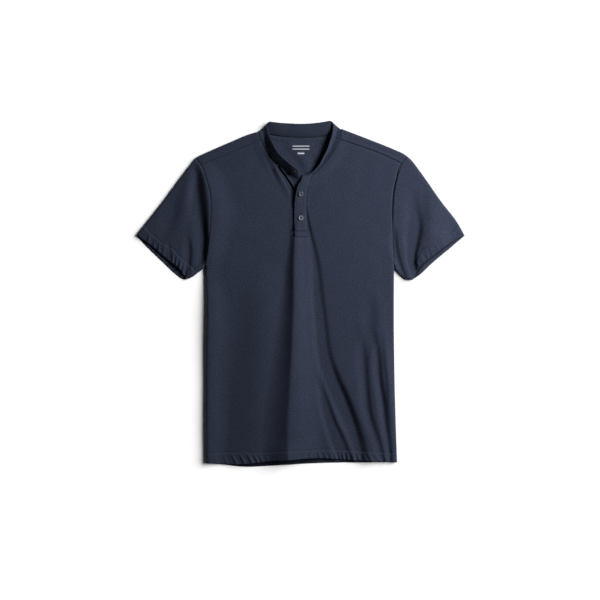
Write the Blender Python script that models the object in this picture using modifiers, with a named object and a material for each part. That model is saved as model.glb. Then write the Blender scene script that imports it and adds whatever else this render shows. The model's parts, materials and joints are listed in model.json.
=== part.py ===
"""Short-sleeved henley shirt with a stand collar, laid flat on its back.

The front panel, sleeve tops and shoulder strips are an upper layer, the back panel and
sleeve backs a lower layer, and both layers meet in a rounded fold along the shoulders,
sleeve tops, underarms and body sides. Tables are in millimetres, +Y runs to the collar.
"""

import math

import bmesh
import bpy
import numpy as np
from mathutils import Matrix, Vector
from mathutils.geometry import delaunay_2d_cdt

MM = 0.001

# Driving sizes, mm
WALL = 1.2  # panels and sleeves
BAND_WALL = 2.0  # the collar band is two layers of cloth
PLACKET_WALL = 1.4
SEAM_GAP = 0.3
BODY_RISE = 6.4  # top of the upper layer above the surface the shirt lies on
ROLL = 6.0  # plan width of the rounded fold
CLEARANCE = 3.4  # least distance between the outer faces of the two layers
PLACKET_RISE = 0.7  # the upper placket stands above the front panel
UNDER_DROP = WALL + SEAM_GAP  # the under placket lies below the front panel
BLEND = 1.0  # roundness of the turn where the upper layer settles on the lower one
CROWN_STEEPNESS = 0.7  # an edge that faces up more than this is at the crown of a fold
STRAIGHT = 0.8  # cosine above which two edges at a point count as one straight edge
ROLL_SPARE = 0.25  # extra room where a seam crosses a fold
CORNER_SPARE = 0.3  # extra room where a seam ends on a fold
BAND_BOW = 0.45  # how far the band's cross-section sags below its chord, 0 to 1

# Spacing of the points, mm
EDGE_STEP = 13.0
SIDE_STEP = 21.0
UPPER_STEP = (13.0, 21.0)  # across and along the body
LOWER_STEP = (26.0, 32.0)
SLEEVE_STEP = (14.0, 15.0)
PLACKET_STEP = (9.0, 12.0)
LINE_STEP = 4.0
FOLD_STEP = 8.0
BAND_STEP = 5.5
BAND_ROWS = 4
EDGE_SPARE = 0.5  # inner points keep this share of a step from the outline
FOLD_SPARE = 0.42  # and this share from the rings of a rounded fold
PLAN_MERGE = 1e-4
POINT_MERGE = 2e-5  # metres
CROWN_RING = 0.06  # rings of points in the rounded fold, as shares of ROLL
ROLL_RINGS = (0.3, 1.0)

BUTTON_RADIUS = 5.6
BUTTON_HOLE_RADIUS = 0.75
BUTTON_HOLE_PITCH = 1.5  # from the button's axis to each hole
BUTTON_HOLE_SIDES = 8
BUTTON_SIDES = 24
CUTTER_DEPTH = 6.0
BAND_FRONT = 45.0  # length of the band's left front part that carries its button
HOLES = "button_holes"

CLOTH_COLOUR = (0.030, 0.042, 0.073, 1.0)
CLOTH_ROUGHNESS = 0.85
BUTTON_COLOUR = (0.060, 0.075, 0.115, 1.0)
BUTTON_ROUGHNESS = 0.4

# Half section of a button, from its axis above the dish to its axis below. Columns: radius, height
BUTTON_PROFILE = [
    (0, 1.35), (3.0, 1.35), (3.6, 1.75), (4.3, 2.1), (5.0, 1.95), (5.6, 1.25), (5.3, 0.45), (4.4, 0),
    (0, 0),
]

# Outlines. Columns: x, y
HEM_FRONT = [(-206.6, -371.6), (-129.6, -374.2), (-49, -367), (48, -364), (145, -368.3), (211, -370)]
HEM_BACK = [
    (-206.6, -371.6), (-178, -374), (-129.6, -379.5), (-33, -375), (64, -371), (145, -370),
    (211, -370),
]
SIDE_LEFT = [(-206.6, -371.6), (-207.4, -150), (-206.4, 0), (-211, 57)]
SIDE_RIGHT = [(211, -370), (205, -176), (203.6, -20), (205, 59)]
SHOULDER_LEFT = [(-91.5, 357), (-139.9, 341), (-200.7, 314.6), (-222, 304.2), (-231, 298.5)]
SHOULDER_RIGHT = [(90, 363), (147.6, 341), (205, 318), (226.5, 308.2), (235, 302.5)]
SLEEVE_TOP_LEFT = [(-231, 298.5), (-237, 292.8), (-257.5, 268.4), (-306.4, 202.4), (-361, 130)]
SLEEVE_TOP_RIGHT = [(235, 302.5), (241, 296), (262.2, 268.4), (308.4, 202.4), (361, 130)]
UNDERARM_LEFT = [(-211, 57), (-220.4, 50), (-238, 37), (-251, 32)]
UNDERARM_RIGHT = [(205, 59), (219.6, 41.6), (235, 31.5), (246, 31)]
CUFF_LEFT_UPPER = [(-361, 130), (-331.3, 105.4), (-302.5, 80.7), (-267.7, 51.9), (-251, 32)]
CUFF_LEFT_LOWER = [(-361, 130), (-343.2, 110), (-302.6, 70.4), (-272, 43), (-251, 32)]
CUFF_RIGHT_UPPER = [(361, 130), (334.4, 113.5), (293.3, 82.7), (264.7, 51.9), (246, 31)]
CUFF_RIGHT_LOWER = [(361, 130), (336.6, 110), (290, 70.4), (260.6, 42), (246, 31)]
ARMHOLE_LEFT = [
    (-211, 57), (-203.9, 101.2), (-198, 162.8), (-202, 218.2), (-210.1, 255.2), (-219.8, 285),
    (-231, 298.5),
]
ARMHOLE_RIGHT = [
    (205, 59), (203.1, 121.7), (201.4, 180), (205, 228.6), (211.2, 257.2), (220.4, 287.5),
    (235, 302.5),
]
FORWARD_LEFT = [(-87.4, 340.3), (-144.8, 315.3), (-208, 288.8), (-219.8, 285)]
FORWARD_RIGHT = [(85.9, 339.5), (104.5, 333.3), (186.6, 303.4), (220.4, 287.5)]
SLIT_LEFT = [
    (-44.5, 280), (-32.8, 260), (-15, 230.5), (-13.4, 218), (-14.1, 184.8), (-14.1, 162.8),
    (-12.9, 130), (-12.7, 124.4),
]
PLACKET_LEFT = [
    (2.2, 250.5), (-4.8, 239.1), (-9.2, 222.9), (-12.1, 205.3), (-13.6, 178), (-13.4, 155),
    (-12.2, 124.4),
]
PLACKET_RIGHT = [(26.5, 261.4), (20, 245), (15.3, 226), (13.9, 205), (15, 160), (15, 124.4)]
PLACKET_FOOT = [(-12.2, 124.4), (15, 124.4)]
SLIT_FOOT = [(-12.7, 124.4), (15, 124.4)]
UNDER_RIGHT = [(-1.5, 252.4), (6, 238), (10, 215), (10.5, 160), (10.5, 130)]
UNDER_FOOT = [(-12.9, 130), (10.5, 130)]

# Folds of the upper layer. Columns: x, y, height, width at -X side, width at +X side
UPPER_FOLDS = {
    "centre_ridge": [
        (0, 152, 0.8, 14, 24), (-9.2, 107.8, 4.0, 16, 36), (-13, 52.8, 6.2, 22, 48),
        (-12, -13.2, 7.6, 28, 54),
        (-13.6, -79.2, 8.4, 36, 66), (-15.8, -145, 8.8, 42, 82), (-20.2, -211, 9.0, 48, 106),
        (-22.4, -277, 9.0, 54, 130), (-27, -343, 8.6, 58, 150), (-31, -400, 8.6, 58, 160),
    ],
    "valley_b": [
        (9.5, 196, 0, 8, 7), (20.5, 118.8, -1.6, 14, 9), (33.7, 52.8, -2.2, 16, 10),
        (38.1, -13.2, -2.6, 18, 11),
        (51.3, -79.2, -3.0, 20, 12), (64.5, -145.2, -3.8, 22, 13), (87.6, -211.2, -4.8, 24, 14),
        (111.8, -277.2, -5.2, 22, 14), (127.2, -321.2, -4.6, 18, 13), (146, -400, -4.0, 18, 13),
    ],
    "valley_c": [
        (40, -178, 0, 10, 9), (53.5, -233.2, -2.6, 15, 11), (66.7, -277.2, -4.6, 19, 12),
        (84.3, -321.2, -4.8, 20, 13), (104, -400, -4.2, 20, 13),
    ],
    "valley_d_top": [(131, -20, 0, 20, 12), (144.8, -70.4, -1.6, 24, 14), (155, -125, 0, 18, 12)],
    "valley_d": [
        (134, -105, 0, 16, 10), (137.1, -167.2, -2.4, 20, 11), (143.7, -211.2, -3.0, 18, 11),
        (156.9, -266.2, -3.4, 17, 11), (171.2, -321.2, -3.0, 15, 11), (190, -400, -2.6, 15, 11),
    ],
    "valley_e": [
        (162, -105, 0, 14, 9), (169, -167.2, -2.4, 16, 9), (178.9, -211.2, -3.2, 16, 9),
        (187.7, -277.2, -3.2, 15, 9), (196.5, -323.4, -2.4, 12, 8), (205, -400, -2.0, 10, 8),
    ],
    "right_swell": [
        (158, 20, 0, 40, 42), (168, -90, 2.4, 44, 38), (176, -220, 3.4, 46, 32),
        (186, -400, 2.6, 46, 28),
    ],
    "left_hollow": [
        (-128, 60, 0, 50, 40), (-141, -60, -2.2, 62, 52), (-146, -180, -2.6, 60, 52),
        (-140, -400, -2.0, 60, 50),
    ],
    "left_side_roll": [(-199, 60, 0.6, 12, 34), (-197, -100, 1.6, 14, 34), (-197, -400, 1.6, 14, 34)],
    "hem_lift_left": [(-130, -330, 0, 60, 60), (-118, -400, 1.6, 50, 60)],
    "placket_plateau": [
        (12, 262, 2.0, 36, 30), (1, 200, 1.8, 26, 30), (0.5, 118, 1.4, 24, 26), (0, 80, 0, 20, 22),
    ],
    "neck_rise_left": [
        (-4, 245, 2.2, 30, 30), (-44, 272, 2.6, 26, 24), (-74, 304, 2.4, 26, 24),
        (-90, 345, 1.0, 24, 20),
    ],
    "neck_rise_right": [
        (20, 250, 2.2, 30, 30), (56, 282, 2.4, 24, 26), (78, 312, 2.0, 24, 26), (88, 348, 1.0, 20, 24),
    ],
    "slit_ridge": [
        (-70, 300, 0, 9, 7), (-47, 271, 2.0, 11, 8), (-24, 237, 2.2, 11, 8), (-18, 205, 0, 8, 6),
    ],
    "slit_hollow": [
        (-84, 300, 0, 12, 12), (-62, 272, -1.8, 15, 13), (-40, 238, -1.4, 14, 13),
        (-30, 200, 0, 12, 10),
    ],
    "armhole_rim_left": [
        (-226, 292, 0.4, 9, 22), (-205, 255, 2.6, 12, 32), (-196, 205, 3.4, 13, 36),
        (-193, 160, 3.4, 13, 36),
        (-198, 105, 3.2, 13, 34), (-206, 62, 1.6, 10, 26),
    ],
    "armhole_trough_left": [
        (-243, 278, 0, 10, 12), (-229, 250, -2.4, 16, 13), (-221, 205, -3.2, 20, 14),
        (-217, 160, -3.4, 22, 14),
        (-222, 105, -3.0, 20, 14), (-231, 66, -1.4, 12, 12),
    ],
    "sleeve_left_crown": [
        (-240, 262, 0, 14, 12), (-247, 215, 2.6, 20, 14), (-252, 165, 2.6, 22, 16),
        (-268, 110, 1.4, 18, 18), (-280, 70, 0, 14, 14),
    ],
    "sleeve_left_hollow": [
        (-282, 232, 0, 16, 12), (-294, 180, -2.8, 26, 18), (-300, 140, -2.2, 24, 18),
        (-316, 96, -1.2, 16, 14),
    ],
    "sleeve_left_fold": [
        (-252, 128, 0, 10, 6), (-249, 100, -2.6, 13, 7), (-250, 68, -2.8, 13, 7),
        (-262, 20, -2.2, 12, 7),
    ],
    "sleeve_right_fold": [
        (264, 222, 0, 14, 12), (268, 180, -2.2, 22, 12), (263, 132, -3.4, 22, 12),
        (252, 84, -3.6, 18, 10), (255, 20, -3.2, 14, 8),
    ],
    "sleeve_right_swell": [
        (292, 236, 0, 18, 30), (292, 180, 2.6, 20, 40), (286, 130, 3.0, 20, 40),
        (280, 92, 1.6, 16, 30), (278, 60, 0.8, 12, 20),
    ],
    "underarm_right_fold": [
        (205, 150, 0, 8, 7), (212, 108, -1.8, 11, 8), (219, 66, -2.4, 11, 8), (228, 36, -1.4, 9, 7),
    ],
}

# Folds of the lower layer, which lies at 0. Same columns
LOWER_FOLDS = {
    "hem_lift_centre": [(-34, -318, 0, 44, 40), (-38, -372, 5.2, 52, 46), (-38, -400, 5.4, 52, 46)],
    "hem_lift_right": [(138, -322, 0, 40, 36), (142, -372, 3.6, 48, 40), (142, -400, 3.6, 48, 40)],
}

# The collar band from its left front end round the back to its right front end.
# Columns: seam point x, y; top edge x, y; height of the top edge
BAND = [
    (-1.5, 252.4, -5.6, 275.6, 21), (-14, 256.8, -14, 279.6, 24), (-30, 268.4, -24, 285, 29),
    (-44.5, 280, -34.6, 294.6, 32), (-65.1, 297.4, -50.6, 312, 31), (-75.5, 314, -58.6, 326, 30),
    (-82.8, 330, -63.2, 336.5, 28.5), (-87.4, 340.3, -67, 347.2, 26), (-89.4, 346.5, -69.6, 355, 22.5),
    (-90.6, 351.5, -71.4, 362.5, 19),
    (-91.5, 357, -73, 371.5, 13.5), (-88.4, 356.4, -69.2, 377.4, 8.6), (-80, 353.9, -60.5, 377.3, 6.8),
    (-65.1, 350.2, -48, 375.8, 6.4), (-33.4, 345.8, -24, 374.2, 6), (0, 344.3, 1, 373.2, 6),
    (40, 346, 33, 375, 6.4),
    (66, 350.8, 54, 377.8, 7), (78.5, 356.2, 62.5, 379.4, 8), (86.6, 361.2, 66.6, 380, 9.6),
    (90, 363, 69.6, 375.4, 14), (89.2, 355, 70.9, 365.5, 20.5), (88, 347.5, 70, 357.5, 25),
    (85.9, 339.5, 67.6, 346, 29),
    (82, 331, 64.4, 336, 31), (72.2, 312, 57.4, 316.4, 34.5), (61.6, 294.8, 50, 298.5, 36),
    (45.8, 277.6, 39.6, 283.2, 36.5), (26.5, 261.4, 22.6, 268.4, 36.3), (14, 254.6, 12.6, 262, 36),
    (2.2, 250.5, 4.4, 258.4, 35),
]

# Button centres. Columns: x, y
BUTTONS = {"button_upper": (2.0, 218.9), "button_lower": (2.0, 166.5)}
COLLAR_BUTTON = (-15.2, 266.9)


def spline(rows, step, size_columns=2):
    """Rows at most `step` apart on a smooth curve that keeps the given rows; every column is blended."""
    p = np.array(rows, float)
    w = np.linalg.norm(np.diff(p[:, :size_columns], axis=0), axis=1)
    slope = np.diff(p, axis=0) / w[:, None]
    tangent = np.empty_like(p)
    tangent[1:-1] = (slope[:-1] * w[1:, None] + slope[1:] * w[:-1, None]) / (w[1:] + w[:-1])[:, None]
    if len(p) == 2:
        tangent[:] = slope
    else:
        tangent[0] = 1.5 * slope[0] - 0.5 * tangent[1]
        tangent[-1] = 1.5 * slope[-1] - 0.5 * tangent[-2]
    result = [p[:1]]
    for k, h in enumerate(w):
        u = np.linspace(0, 1, max(1, math.ceil(h / step)) + 1)[1:, None]
        result.append(
            (2 * u**3 - 3 * u**2 + 1) * p[k]
            + (u**3 - 2 * u**2 + u) * h * tangent[k]
            + (3 * u**2 - 2 * u**3) * p[k + 1]
            + (u**3 - u**2) * h * tangent[k + 1]
        )
    return np.vstack(result)


def lengths(line):
    """Distance along a line of points, at each point."""
    return np.r_[0, np.cumsum(np.linalg.norm(np.diff(line[:, :2], axis=0), axis=1))]


def nearest(points, line):
    """Distance of each point to a line, which side it is on (1 at +X of a line to -Y) and its place."""
    best = np.full(len(points), np.inf)
    side = np.ones(len(points))
    place = np.zeros(len(points))
    for k in range(len(line) - 1):
        a, d = line[k, :2], line[k + 1, :2] - line[k, :2]
        along = np.clip((points - a) @ d / (d @ d), 0, 1)
        off = points - a - along[:, None] * d
        distance = np.hypot(off[:, 0], off[:, 1])
        closer = distance < best
        best[closer] = distance[closer]
        side[closer] = np.sign(d[0] * off[:, 1] - d[1] * off[:, 0])[closer]
        place[closer] = (k + along)[closer]
    return best, side, place


def stretch(line, start, end):
    """The part of a line from one of its own points to another, in that order."""
    first, last = (int(np.argmin(np.linalg.norm(line - p, axis=1))) for p in (start, end))
    return line[first : last + 1] if first < last else line[last : first + 1][::-1]


def spaced(line, step, ring_start=False, ring_end=False):
    """A line resampled at an even step, with extra points where it leaves or meets a rounded fold."""
    t = lengths(line)
    near = [ROLL * share for share in ROLL_RINGS] if ring_start else [0.0]
    far = [t[-1] - ROLL * share for share in ROLL_RINGS[::-1]] if ring_end else [t[-1]]
    middle = np.linspace(near[-1], far[0], max(1, round((far[0] - near[-1]) / step)) + 1)
    s = np.unique(np.round(np.r_[0, near, middle, far, t[-1]], 4))
    return np.column_stack([np.interp(s, t, line[:, c]) for c in range(2)])


def curve(rows):
    return spline(rows, LINE_STEP)


def relief(points, folds):
    """Height added by a table of folds, each a soft ridge or trough along a curve."""
    total = np.zeros(len(points))
    for rows in folds.values():
        line = spline(rows, FOLD_STEP)
        reach = line[:, 3:5].max()
        low, high = line[:, :2].min(0) - reach, line[:, :2].max(0) + reach
        inside = np.all((points > low) & (points < high), axis=1)
        if not inside.any():
            continue
        distance, side, place = nearest(points[inside], line)
        row = np.arange(len(line))
        height, minus, plus = (np.interp(place, row, line[:, c]) for c in (2, 3, 4))
        share = distance / np.where(side > 0, plus, minus)
        total[inside] += height * 0.5 * (1 + np.cos(np.pi * np.minimum(share, 1)))
    return total


FOLD_LINES = [
    curve(rows)
    for rows in (
        SIDE_LEFT, SIDE_RIGHT, SHOULDER_LEFT, SHOULDER_RIGHT,
        SLEEVE_TOP_LEFT, SLEEVE_TOP_RIGHT, UNDERARM_LEFT, UNDERARM_RIGHT,
    )
]


def layers(points):
    """Heights of the upper and the lower outer face at each plan point."""
    low = np.maximum(relief(points, LOWER_FOLDS), 0)
    spread = BODY_RISE + relief(points, UPPER_FOLDS) - CLEARANCE
    high = low + CLEARANCE + 0.5 * (spread + np.sqrt(spread**2 + BLEND**2))
    to_fold = np.min([nearest(points, line)[0] for line in FOLD_LINES], axis=0)
    share = np.clip(to_fold / ROLL, 0, 1)
    bulge = np.sqrt(1 - (1 - share) ** 2)
    middle = 0.5 * (high + low)
    return middle + (high - middle) * bulge, middle - (middle - low) * bulge


def upper(points):
    return layers(points)[0]


def lower(points):
    return layers(points)[1]


def inside_outline(points, outline):
    """Which points lie inside a closed outline."""
    x, y = points[:, 0], points[:, 1]
    found = np.zeros(len(points), bool)
    for (x1, y1), (x2, y2) in zip(outline, np.roll(outline, -1, axis=0)):
        if y1 != y2:
            found ^= ((y1 > y) != (y2 > y)) & (x < (x2 - x1) * (y - y1) / (y2 - y1) + x1)
    return found


def ring_lines(outline, folds):
    """Lines of points beside each rounded fold, which carry its round section."""
    lines = []
    for fold in folds:
        along = np.gradient(fold, axis=0)
        normal = np.column_stack([-along[:, 1], along[:, 0]]) / np.hypot(*along.T)[:, None]
        middle = len(fold) // 2
        if not inside_outline(fold[middle : middle + 1] + normal[middle] * ROLL, outline)[0]:
            normal = -normal
        lines.append((fold + normal * ROLL * CROWN_RING)[1:-1])
        for share in ROLL_RINGS:
            ring = fold + normal * ROLL * share
            for end in (0, -1):
                to_outline = np.linalg.norm(outline - ring[end], axis=1)
                if to_outline.min() < ROLL * share:
                    ring[end] = outline[to_outline.argmin()]
            lines.append(ring)
    return lines


def fill_points(outline, step, folds):
    """A staggered grid of points inside an outline, clear of its edge and of its rounded folds."""
    closed = np.vstack([outline, outline[:1]])
    low, high = outline.min(0), outline.max(0)
    columns = np.arange(low[0], high[0] + step[0], step[0])
    rows = np.arange(low[1], high[1] + step[1], step[1])
    grid = np.array([(x + (j % 2) * step[0] / 2, y) for j, y in enumerate(rows) for x in columns])
    grid = grid[inside_outline(grid, outline)]
    grid = grid[nearest(grid, closed)[0] > EDGE_SPARE * min(step)]
    if folds:
        to_fold = np.min([nearest(grid, fold)[0] for fold in folds], axis=0)
        grid = grid[to_fold > ROLL + FOLD_SPARE * min(step)]
    return grid


def triangles(outline, inner, lines):
    """Plan points and triangles of an outline filled with inner points and lines of points."""
    flat = [Vector(p) for p in np.vstack([outline, inner, *lines])]
    edges = []
    start = len(outline) + len(inner)
    for line in lines:
        edges += [(start + k, start + k + 1) for k in range(len(line) - 1)]
        start += len(line)
    border = [list(range(len(outline)))]
    verts, _, faces, *_ = delaunay_2d_cdt(flat, edges, border, 1, PLAN_MERGE)
    return np.array([tuple(v) for v in verts]), [tuple(f) for f in faces]


def material(name, colour, roughness):
    made = bpy.data.materials.new(name)
    made.use_nodes = True
    shader = made.node_tree.nodes["Principled BSDF"]
    shader.inputs["Base Color"].default_value = colour
    shader.inputs["Roughness"].default_value = roughness
    shader.inputs["Metallic"].default_value = 0.0
    return made


def finished(name, mesh, colour, roughness, collection):
    obj = bpy.data.objects.new(name, mesh)
    obj.data.materials.append(material(name, colour, roughness))
    collection.objects.link(obj)
    return obj


def seam_plane(inward):
    """Normal of the plane between two pieces: level at the crown of a fold, upright elsewhere."""
    if abs(inward.z) > CROWN_STEEPNESS:
        return Vector((0, 0, -math.copysign(1, inward.z)))
    return Vector((-inward.x, -inward.y, 0)).normalized()


def pull_in_edges(mesh, wall):
    """Moves the open edges of a surface inwards, along the surface, by half a seam gap.

    Each edge moves far enough for the inner face of its wall to clear the seam plane as well.
    """
    mesh.normal_update()
    pulls = {}
    for edge in mesh.edges:
        if not edge.is_boundary:
            continue
        loop = edge.link_loops[0]
        along = loop.link_loop_next.vert.co - loop.vert.co
        inward = loop.face.normal.cross(along).normalized()
        plane = seam_plane(inward)
        for vert in edge.verts:
            lean = max(0.0, -vert.normal.dot(plane), -loop.face.normal.dot(plane))
            spare = ROLL_SPARE if abs(vert.normal.z) < CROWN_STEEPNESS and plane.z == 0 else 0.0
            distance = (0.5 * SEAM_GAP + spare + wall * lean) / -inward.dot(plane)
            pulls.setdefault(vert, []).append((inward, distance))
    for vert, ((first, d1), (second, d2)) in pulls.items():
        shared = first.dot(second)
        if max(abs(first.z), abs(second.z)) > CROWN_STEEPNESS > min(abs(first.z), abs(second.z)):
            d1 += CORNER_SPARE
            d2 += CORNER_SPARE
        if shared > STRAIGHT:
            middle = (first + second).normalized()
            vert.co += middle * max(d1, d2) / middle.dot(first) * MM
        else:
            scale = MM / (1 - shared**2)
            vert.co += (first * (d1 - shared * d2) + second * (d2 - shared * d1)) * scale


def cloth(name, sheets, wall, collection):
    """One piece of cloth: plan sheets lifted to their layer, joined at folds and given their wall."""
    mesh = bmesh.new()
    for points, faces, height, faces_up in sheets:
        z = height(points)
        verts = [mesh.verts.new((x * MM, y * MM, h * MM)) for (x, y), h in zip(points, z)]
        for face in faces:
            corner = [verts[i] for i in face]
            made = mesh.faces.new(corner)
            made.normal_update()
            if (made.normal.z > 0) != faces_up:
                made.normal_flip()
    bmesh.ops.remove_doubles(mesh, verts=mesh.verts, dist=POINT_MERGE)
    pull_in_edges(mesh, wall)
    data = bpy.data.meshes.new(name)
    mesh.to_mesh(data)
    mesh.free()
    obj = finished(name, data, CLOTH_COLOUR, CLOTH_ROUGHNESS, collection)
    obj.data.shade_smooth()
    solidify = obj.modifiers.new("wall", "SOLIDIFY")
    solidify.thickness = wall * MM
    solidify.offset = -1
    solidify.use_even_offset = True
    return obj


def sheet(outline, step, folds, height, faces_up):
    """One layer of a piece, from its closed outline."""
    points, faces = triangles(outline, fill_points(outline, step, folds), ring_lines(outline, folds))
    return points, faces, height, faces_up


def loop_of(*stretches):
    """A closed outline from stretches that follow on from each other."""
    return np.vstack([stretch[:-1] for stretch in stretches])


# The shared edges, each resampled once so that neighbours meet point to point
side_left = spaced(curve(SIDE_LEFT), SIDE_STEP)
side_right = spaced(curve(SIDE_RIGHT), SIDE_STEP)
shoulder_left = spaced(curve(SHOULDER_LEFT), EDGE_STEP)
shoulder_right = spaced(curve(SHOULDER_RIGHT), EDGE_STEP)
sleeve_top_left = spaced(curve(SLEEVE_TOP_LEFT), EDGE_STEP)
sleeve_top_right = spaced(curve(SLEEVE_TOP_RIGHT), EDGE_STEP)
underarm_left = spaced(curve(UNDERARM_LEFT), EDGE_STEP)
underarm_right = spaced(curve(UNDERARM_RIGHT), EDGE_STEP)
forward_left = spaced(curve(FORWARD_LEFT), EDGE_STEP)
forward_right = spaced(curve(FORWARD_RIGHT), EDGE_STEP)
slit_left = spaced(curve(SLIT_LEFT), EDGE_STEP)
placket_left = spaced(curve(PLACKET_LEFT), EDGE_STEP)
placket_right = spaced(curve(PLACKET_RIGHT), EDGE_STEP)


def armhole(rows, junction):
    """An armhole seam from the armpit to the shoulder tip, by way of the forward shoulder seam."""
    whole = curve(rows)
    return np.vstack([
        spaced(stretch(whole, rows[0], junction), EDGE_STEP, True)[:-1],
        spaced(stretch(whole, junction, rows[-1]), EDGE_STEP, False, True),
    ])


armhole_left = armhole(ARMHOLE_LEFT, FORWARD_LEFT[-1])
armhole_right = armhole(ARMHOLE_RIGHT, FORWARD_RIGHT[-1])
band_stations = spline(BAND, BAND_STEP, 5)
neckline = band_stations[:, :2]


def build_front(collection):
    outline = loop_of(
        spaced(curve(HEM_FRONT), EDGE_STEP, True, True),
        side_right,
        stretch(armhole_right, ARMHOLE_RIGHT[0], FORWARD_RIGHT[-1]),
        forward_right[::-1],
        stretch(neckline, FORWARD_RIGHT[0], PLACKET_RIGHT[0]),
        placket_right,
        spaced(curve(SLIT_FOOT)[::-1], EDGE_STEP),
        slit_left[::-1],
        stretch(neckline, SLIT_LEFT[0], FORWARD_LEFT[0]),
        forward_left,
        stretch(armhole_left, FORWARD_LEFT[-1], ARMHOLE_LEFT[0]),
        side_left[::-1],
    )
    panel = sheet(outline, UPPER_STEP, [side_left, side_right], upper, True)
    return cloth("front", [panel], WALL, collection)


def build_back(collection):
    panel = loop_of(
        spaced(curve(HEM_BACK), EDGE_STEP, True, True),
        side_right,
        armhole_right,
        shoulder_right[::-1],
        stretch(neckline, SHOULDER_RIGHT[0], SHOULDER_LEFT[0]),
        shoulder_left,
        armhole_left[::-1],
        side_left[::-1],
    )
    folds = [side_left, side_right, shoulder_left, shoulder_right]
    sheets = [sheet(panel, LOWER_STEP, folds, lower, False)]
    for shoulder, armhole_line, forward in (
        (shoulder_left, armhole_left, forward_left),
        (shoulder_right, armhole_right, forward_right),
    ):
        strip = loop_of(
            shoulder,
            stretch(armhole_line, shoulder[-1], forward[-1]),
            forward[::-1],
            stretch(neckline, forward[0], shoulder[0]),
        )
        sheets.append(sheet(strip, SLEEVE_STEP, [shoulder], upper, True))
    return cloth("back", sheets, WALL, collection)


def build_sleeve(name, armhole_line, top, cuffs, underarm, collection):
    sheets = []
    for cuff, height, faces_up in zip(cuffs, (upper, lower), (True, False)):
        outline = loop_of(
            top,
            spaced(curve(cuff), EDGE_STEP, True, True),
            underarm[::-1],
            armhole_line,
        )
        step = SLEEVE_STEP if faces_up else LOWER_STEP
        sheets.append(sheet(outline, step, [top, underarm], height, faces_up))
    return cloth(name, sheets, WALL, collection)


def build_placket(name, outline, height, collection):
    return cloth(name, [sheet(outline, PLACKET_STEP, [], height, True)], PLACKET_WALL, collection)


def placket_height(points):
    return upper(points) + PLACKET_RISE


def under_height(points):
    return upper(points) - UNDER_DROP


def build_plackets(collection):
    top = loop_of(
        stretch(neckline, PLACKET_LEFT[0], PLACKET_RIGHT[0]),
        placket_right,
        spaced(curve(PLACKET_FOOT)[::-1], PLACKET_STEP[0]),
        placket_left[::-1],
    )
    under = loop_of(
        stretch(neckline, SLIT_LEFT[0], UNDER_RIGHT[0]),
        spaced(curve(UNDER_RIGHT), EDGE_STEP),
        spaced(curve(UNDER_FOOT)[::-1], PLACKET_STEP[0]),
        stretch(slit_left, SLIT_LEFT[-2], SLIT_LEFT[0]),
    )
    build_placket("placket_top", top, placket_height, collection)
    build_placket("placket_under", under, under_height, collection)


def band_surface():
    """Outer face of the collar band as a grid: rows from seam to top edge, stations along the seam."""
    foot, top = neckline, band_stations[:, 2:]
    ends = (SHOULDER_LEFT[0], SHOULDER_RIGHT[0])
    left, right = (int(np.argmin(np.linalg.norm(foot - end, axis=1))) for end in ends)
    place = np.arange(len(foot))
    high, low = layers(foot)
    seam_z = np.where((place > left) & (place < right), low, high)
    seam_z[(place < left) & (foot[:, 0] > SLIT_LEFT[0][0] + SEAM_GAP)] -= UNDER_DROP
    along = np.gradient(foot, axis=0)
    inward = np.column_stack([along[:, 1], -along[:, 0]]) / np.hypot(*along.T)[:, None]
    off_panel = np.sign(place - left) * np.sign(place - right)
    foot = np.column_stack([foot + inward * off_panel[:, None] * SEAM_GAP, seam_z])
    control = 0.5 * (foot + top)
    control[:, 2] -= 0.5 * BAND_BOW * (top[:, 2] - foot[:, 2])
    share = np.linspace(0, 1, BAND_ROWS)[:, None, None]
    return (1 - share) ** 2 * foot + 2 * share * (1 - share) * control + share**2 * top


def build_band(collection):
    grid = band_surface() * MM
    mesh = bmesh.new()
    verts = [[mesh.verts.new(p) for p in row] for row in grid]
    for low, high in zip(verts, verts[1:]):
        for a, b, c, d in zip(low, low[1:], high[1:], high):
            mesh.faces.new((a, d, c, b))
    pull_in_edges(mesh, BAND_WALL)
    data = bpy.data.meshes.new("collar_band")
    mesh.to_mesh(data)
    mesh.free()
    obj = finished("collar_band", data, CLOTH_COLOUR, CLOTH_ROUGHNESS, collection)
    obj.data.shade_smooth()
    solidify = obj.modifiers.new("wall", "SOLIDIFY")
    solidify.thickness = BAND_WALL * MM
    solidify.offset = -1
    solidify.use_even_offset = True
    return obj


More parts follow.
